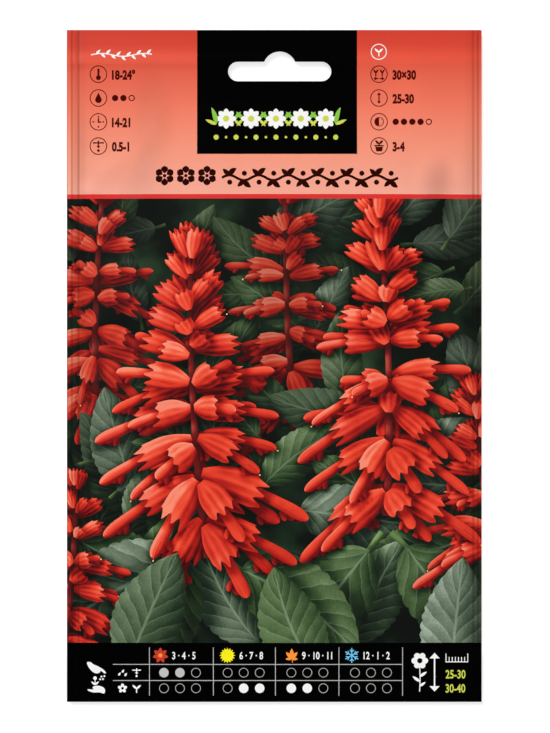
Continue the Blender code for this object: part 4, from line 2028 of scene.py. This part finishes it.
        outward, first = self.form.outward, len(points)
        flat = np.concatenate([points, coarse])
        x, y = flat[:, 0] * outward, flat[:, 1]
        z = self.form.height(x, y)
        z[first:] -= outward * PAPER
        spots = np.stack([x, y, z], 1) * MM
        walls = np.stack([rim[:, 1], rim[:, 0], inner_rim[:, 0] + first, inner_rim[:, 1] + first], 1)
        walls = walls[:, [0, 1, 2, 0, 2, 3]].reshape(-1, 3)
        faces = np.concatenate([triangles, inner[:, ::-1] + first, walls])
        mesh = bpy.data.meshes.new(self.name)
        mesh.from_pydata(spots, [], faces)

        kind = np.repeat((0, 1, 2), (len(triangles), len(inner), len(walls)))
        corner, printed = faces.ravel(), 3 * len(triangles)
        for name, values in (("drawn", drawn), ("lit", lit)):
            full = np.zeros((len(corner), 3))
            full[:printed] = values
            layer = mesh.attributes.new(name, "FLOAT_VECTOR", "CORNER")
            layer.data.foreach_set("vector", full.ravel())
        self.dress(mesh, owner, kind, materials)
        part = (flat[corner] - (-RIGHT, self.low)) / (WIDTH, self.high - self.low)
        place = part * self.MAP_SIZES[kind.repeat(3)] + self.MAP_STARTS[kind.repeat(3)]
        mesh.uv_layers.new(name="OFBake").uv.foreach_set("vector", place.ravel())

        normals = self.form.normal(*(spots[corner, :2] / MM).T)
        normals[printed:] *= -1.0
        normals[-3 * len(walls) :] = self.flat_normals(spots[walls]).repeat(3, axis=0)
        mesh.polygons.foreach_set("use_smooth", np.ones(len(faces), bool))
        mesh.normals_split_custom_set(normals)
        mesh.update()
        log.info("%s: %d printed shapes, %d triangles", self.name, len(self.shapes), len(faces))
        return placed(self.name, mesh)

    def flat_normals(self, corners: Floats) -> Floats:
        """Return the normals of flat triangles."""
        normal = np.cross(corners[:, 1] - corners[:, 0], corners[:, 2] - corners[:, 0])
        return normal / np.maximum(np.linalg.norm(normal, axis=1), 1e-15)[:, None]

    def dress(self, mesh: Mesh, owner: Ints, kind: Ints, materials: dict[Ink, Material]) -> None:
        """Give each face its ink, the inner face its lining and the cut edge its paper.

        Args:
            mesh: The band's mesh.
            owner: The shape of each printed triangle.
            kind: 0 for each printed triangle, 1 for each inner one and 2 for the cut edge's.
            materials: The material of each ink.
        """
        shown = {self.shapes[number].ink for number in np.unique(owner)}
        inks = [ink for ink in Ink if ink in shown] + [Ink.PAPER_EDGE, Ink.LINING]
        for ink in inks:
            mesh.materials.append(materials[ink])
        slots = np.array([inks.index(shape.ink) if shape.ink in shown else 0 for shape in self.shapes])
        index = len(inks) - kind
        index[: len(owner)] = slots[owner]
        mesh.polygons.foreach_set("material_index", index)


def slot_shape(side: float) -> Shape:
    """Return the hanging slot's outline: round ends and a low arch over its middle.

    Args:
        side: 1 as the front's print sees it, -1 as the back's does.

    Returns:
        The outline.
    """
    arch = (ARCH_HALF**2 + ARCH_RISE**2) / (2 * ARCH_RISE)
    spread = math.asin(ARCH_HALF / arch)
    swing = np.linspace(spread, -spread, 13)
    top = np.stack([arch * np.sin(swing), SLOT_END + arch * np.cos(swing) - arch + ARCH_RISE], 1)
    end, out = circle(0, 0, SLOT_END, 24)[:13], SLOT_HALF - SLOT_END
    right, left = turned(end, -math.pi / 2, out), turned(end, math.pi / 2, -out)
    outline = np.concatenate([right, top, left]) + (SLOT_X, SLOT_Y)
    return polygon(outline * (side, 1.0), Ink.PAPER_EDGE)


def dress_seeds() -> None:
    """Put the brown coat on every seed."""
    shades = colours((0.3, 38, 24, 14), (0.52, 74, 50, 30), (0.7, 112, 84, 54))
    coat = SeedCoat("seed coat", roughness=0.55, shades=shades).build({})
    seeds = [node for node in frame["nodes"] if node.startswith("seed_")]
    for node in seeds:
        for slot in bpy.data.objects[node].material_slots:
            slot.material = coat
    log.info("seeds: %d", len(seeds))


class Studio:
    """The pale table, the soft lights and the camera straight above the packet."""

    PIXEL = 0.2412
    PHOTO_HEIGHT = 733
    LENS = 100.0
    OFFSET = (0.17, -0.13)
    TABLE_HALF = 6.0
    LIGHTS = ("key light", 2.6, 30.0, (-38, -30)), ("fill light", 0.9, 60.0, (30, 40))

    def build(self) -> None:
        """Make the table, the lights, the surroundings and the camera."""
        scene = bpy.context.scene
        scene.view_settings.view_transform = "Standard"
        self.table()
        self.lights()
        self.surroundings(scene)
        view = bpy.data.cameras.new("camera")
        view.lens = self.LENS
        distance = self.PIXEL * self.PHOTO_HEIGHT * self.LENS / view.sensor_width
        scene.camera = placed("camera", view)
        scene.camera.location = np.array([*self.OFFSET, distance + SEAL_PLANE]) * MM

    def table(self) -> None:
        """Make the table, a wide white surface under the packet."""
        mesh = bpy.data.meshes.new("table")
        corners = np.array([(-1, -1, 0), (1, -1, 0), (1, 1, 0), (-1, 1, 0)]) * self.TABLE_HALF
        mesh.from_pydata(corners, [], [(0, 1, 2, 3)])
        mesh.materials.append(TableTop("white table", roughness=0.9, specular=0.0).build({}))
        placed("table", mesh)

    def lights(self) -> None:
        """Add the even lights by strength, width in the sky and lean about x and y, in degrees."""
        for name, power, spread, tilt in self.LIGHTS:
            light = bpy.data.lights.new(name, "SUN")
            light.energy, light.angle = power, math.radians(spread)
            placed(name, light).rotation_euler = (*map(math.radians, tilt), 0.0)

    def surroundings(self, scene: Scene) -> None:
        """Make the studio's walls: white where the camera looks, dim overhead in the film."""
        world = bpy.data.worlds.new("studio")
        world.use_nodes = True
        scene.world = world
        nodes = NodeMaker(world.node_tree)
        _, _, up = nodes.split(nodes.add("TexCoord", out="Generated"))
        sky = nodes.ramp(up, ((0.0, (0.75,) * 3), (0.45, (0.55,) * 3), (0.8, (0.12,) * 3)))
        lights, seen = (
            nodes.add("Background", {0: colour, 1: power})
            for colour, power in ((sky, 0.7), ((1.0, 1.0, 1.0), 1.0))
        )
        camera = nodes.add("LightPath", out="Is Camera Ray")
        out = next(node for node in nodes.tree.nodes if node.type == "OUTPUT_WORLD")
        nodes.fill(out, {0: nodes.add("MixShader", {0: camera, 1: lights, 2: seen})})


FRONT_FOLDS = (
    Fold(-28.5, 53.0, 84.0, 12.0, 2.6, 0.34), Fold(-32.5, 47.5, 60.0, 7.0, 2.2, -0.22),
    Fold(-42.0, 45.0, 40.0, 8.0, 2.2, 0.24), Fold(39.0, 44.5, 82.0, 6.0, 2.6, 0.34),
    Fold(33.5, 45.5, 100.0, 6.0, 2.2, -0.16), Fold(12.0, 46.5, 96.0, 6.0, 2.4, 0.10),
    Fold(-8.0, 47.0, 84.0, 7.0, 2.2, -0.08), Fold(-42.0, -18.0, 12.0, 7.0, 1.6, 0.12),
    Fold(42.5, -6.0, 168.0, 7.0, 1.8, 0.12), Fold(43.0, -52.0, 20.0, 6.0, 1.5, 0.12),
    Fold(-43.0, -50.0, 160.0, 6.0, 1.6, 0.10), Fold(0.0, -69.0, 4.0, 30.0, 2.5, -0.10),
)
BACK_FOLDS = (
    Fold(-36.0, 48.0, 62.0, 9.0, 1.8, 0.14), Fold(30.0, 50.0, 108.0, 8.0, 1.8, 0.12),
    Fold(43.0, 8.0, 14.0, 6.0, 1.6, 0.10), Fold(-43.0, -30.0, 166.0, 6.0, 1.6, 0.10),
)


def main() -> None:
    """Build the packet's looks around its solids, then the studio."""
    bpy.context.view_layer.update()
    groups = {"film": film_group(), "light": drawn_light_group()}
    materials = {ink: ink.value.build(groups) for ink in Ink}
    figures, bold = Figures(), Figures(weight=0.05)
    front = SheetForm(
        outward=1.0, plane=SEAL_PLANE + PAPER, bulge=2.6, runs=(40.0, 62.0, 78.0), folds=FRONT_FOLDS
    )
    back = SheetForm(
        outward=-1.0, plane=SEAL_PLANE - PAPER, bulge=1.0, runs=(13.0, 20.0, 20.0),
        folds=BACK_FOLDS, wave=0.0,
    )
    behind = BackPrint().shapes(figures)
    split = PICTURE_BOTTOM + 45.0
    bands = {
        "front_panel": (
            Band("front_header", PICTURE_TOP, TOP, Header().shapes(bold), front, 1.5, slot_shape(1)),
            Band("front_picture", PICTURE_BOTTOM, PICTURE_TOP, BloomPicture().shapes(), front, 0.9),
            Band("front_calendar", -TOP, PICTURE_BOTTOM, Calendar().shapes(figures), front, 1.5),
        ),
        "back_panel": (
            Band("back_header", split, TOP, behind, back, 2.0, slot_shape(-1)),
            Band("back_foot", -TOP, split, behind, back, 2.0),
        ),
    }
    for node, parts in bands.items():
        for part in parts:
            piece = part.build(materials)
            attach(piece, "root")
            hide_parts(node)
            "printed_front" if node == "front_panel" else "printed_back"
    dress_seeds()
    Studio().build()


if __name__ == "__main__":
    main()
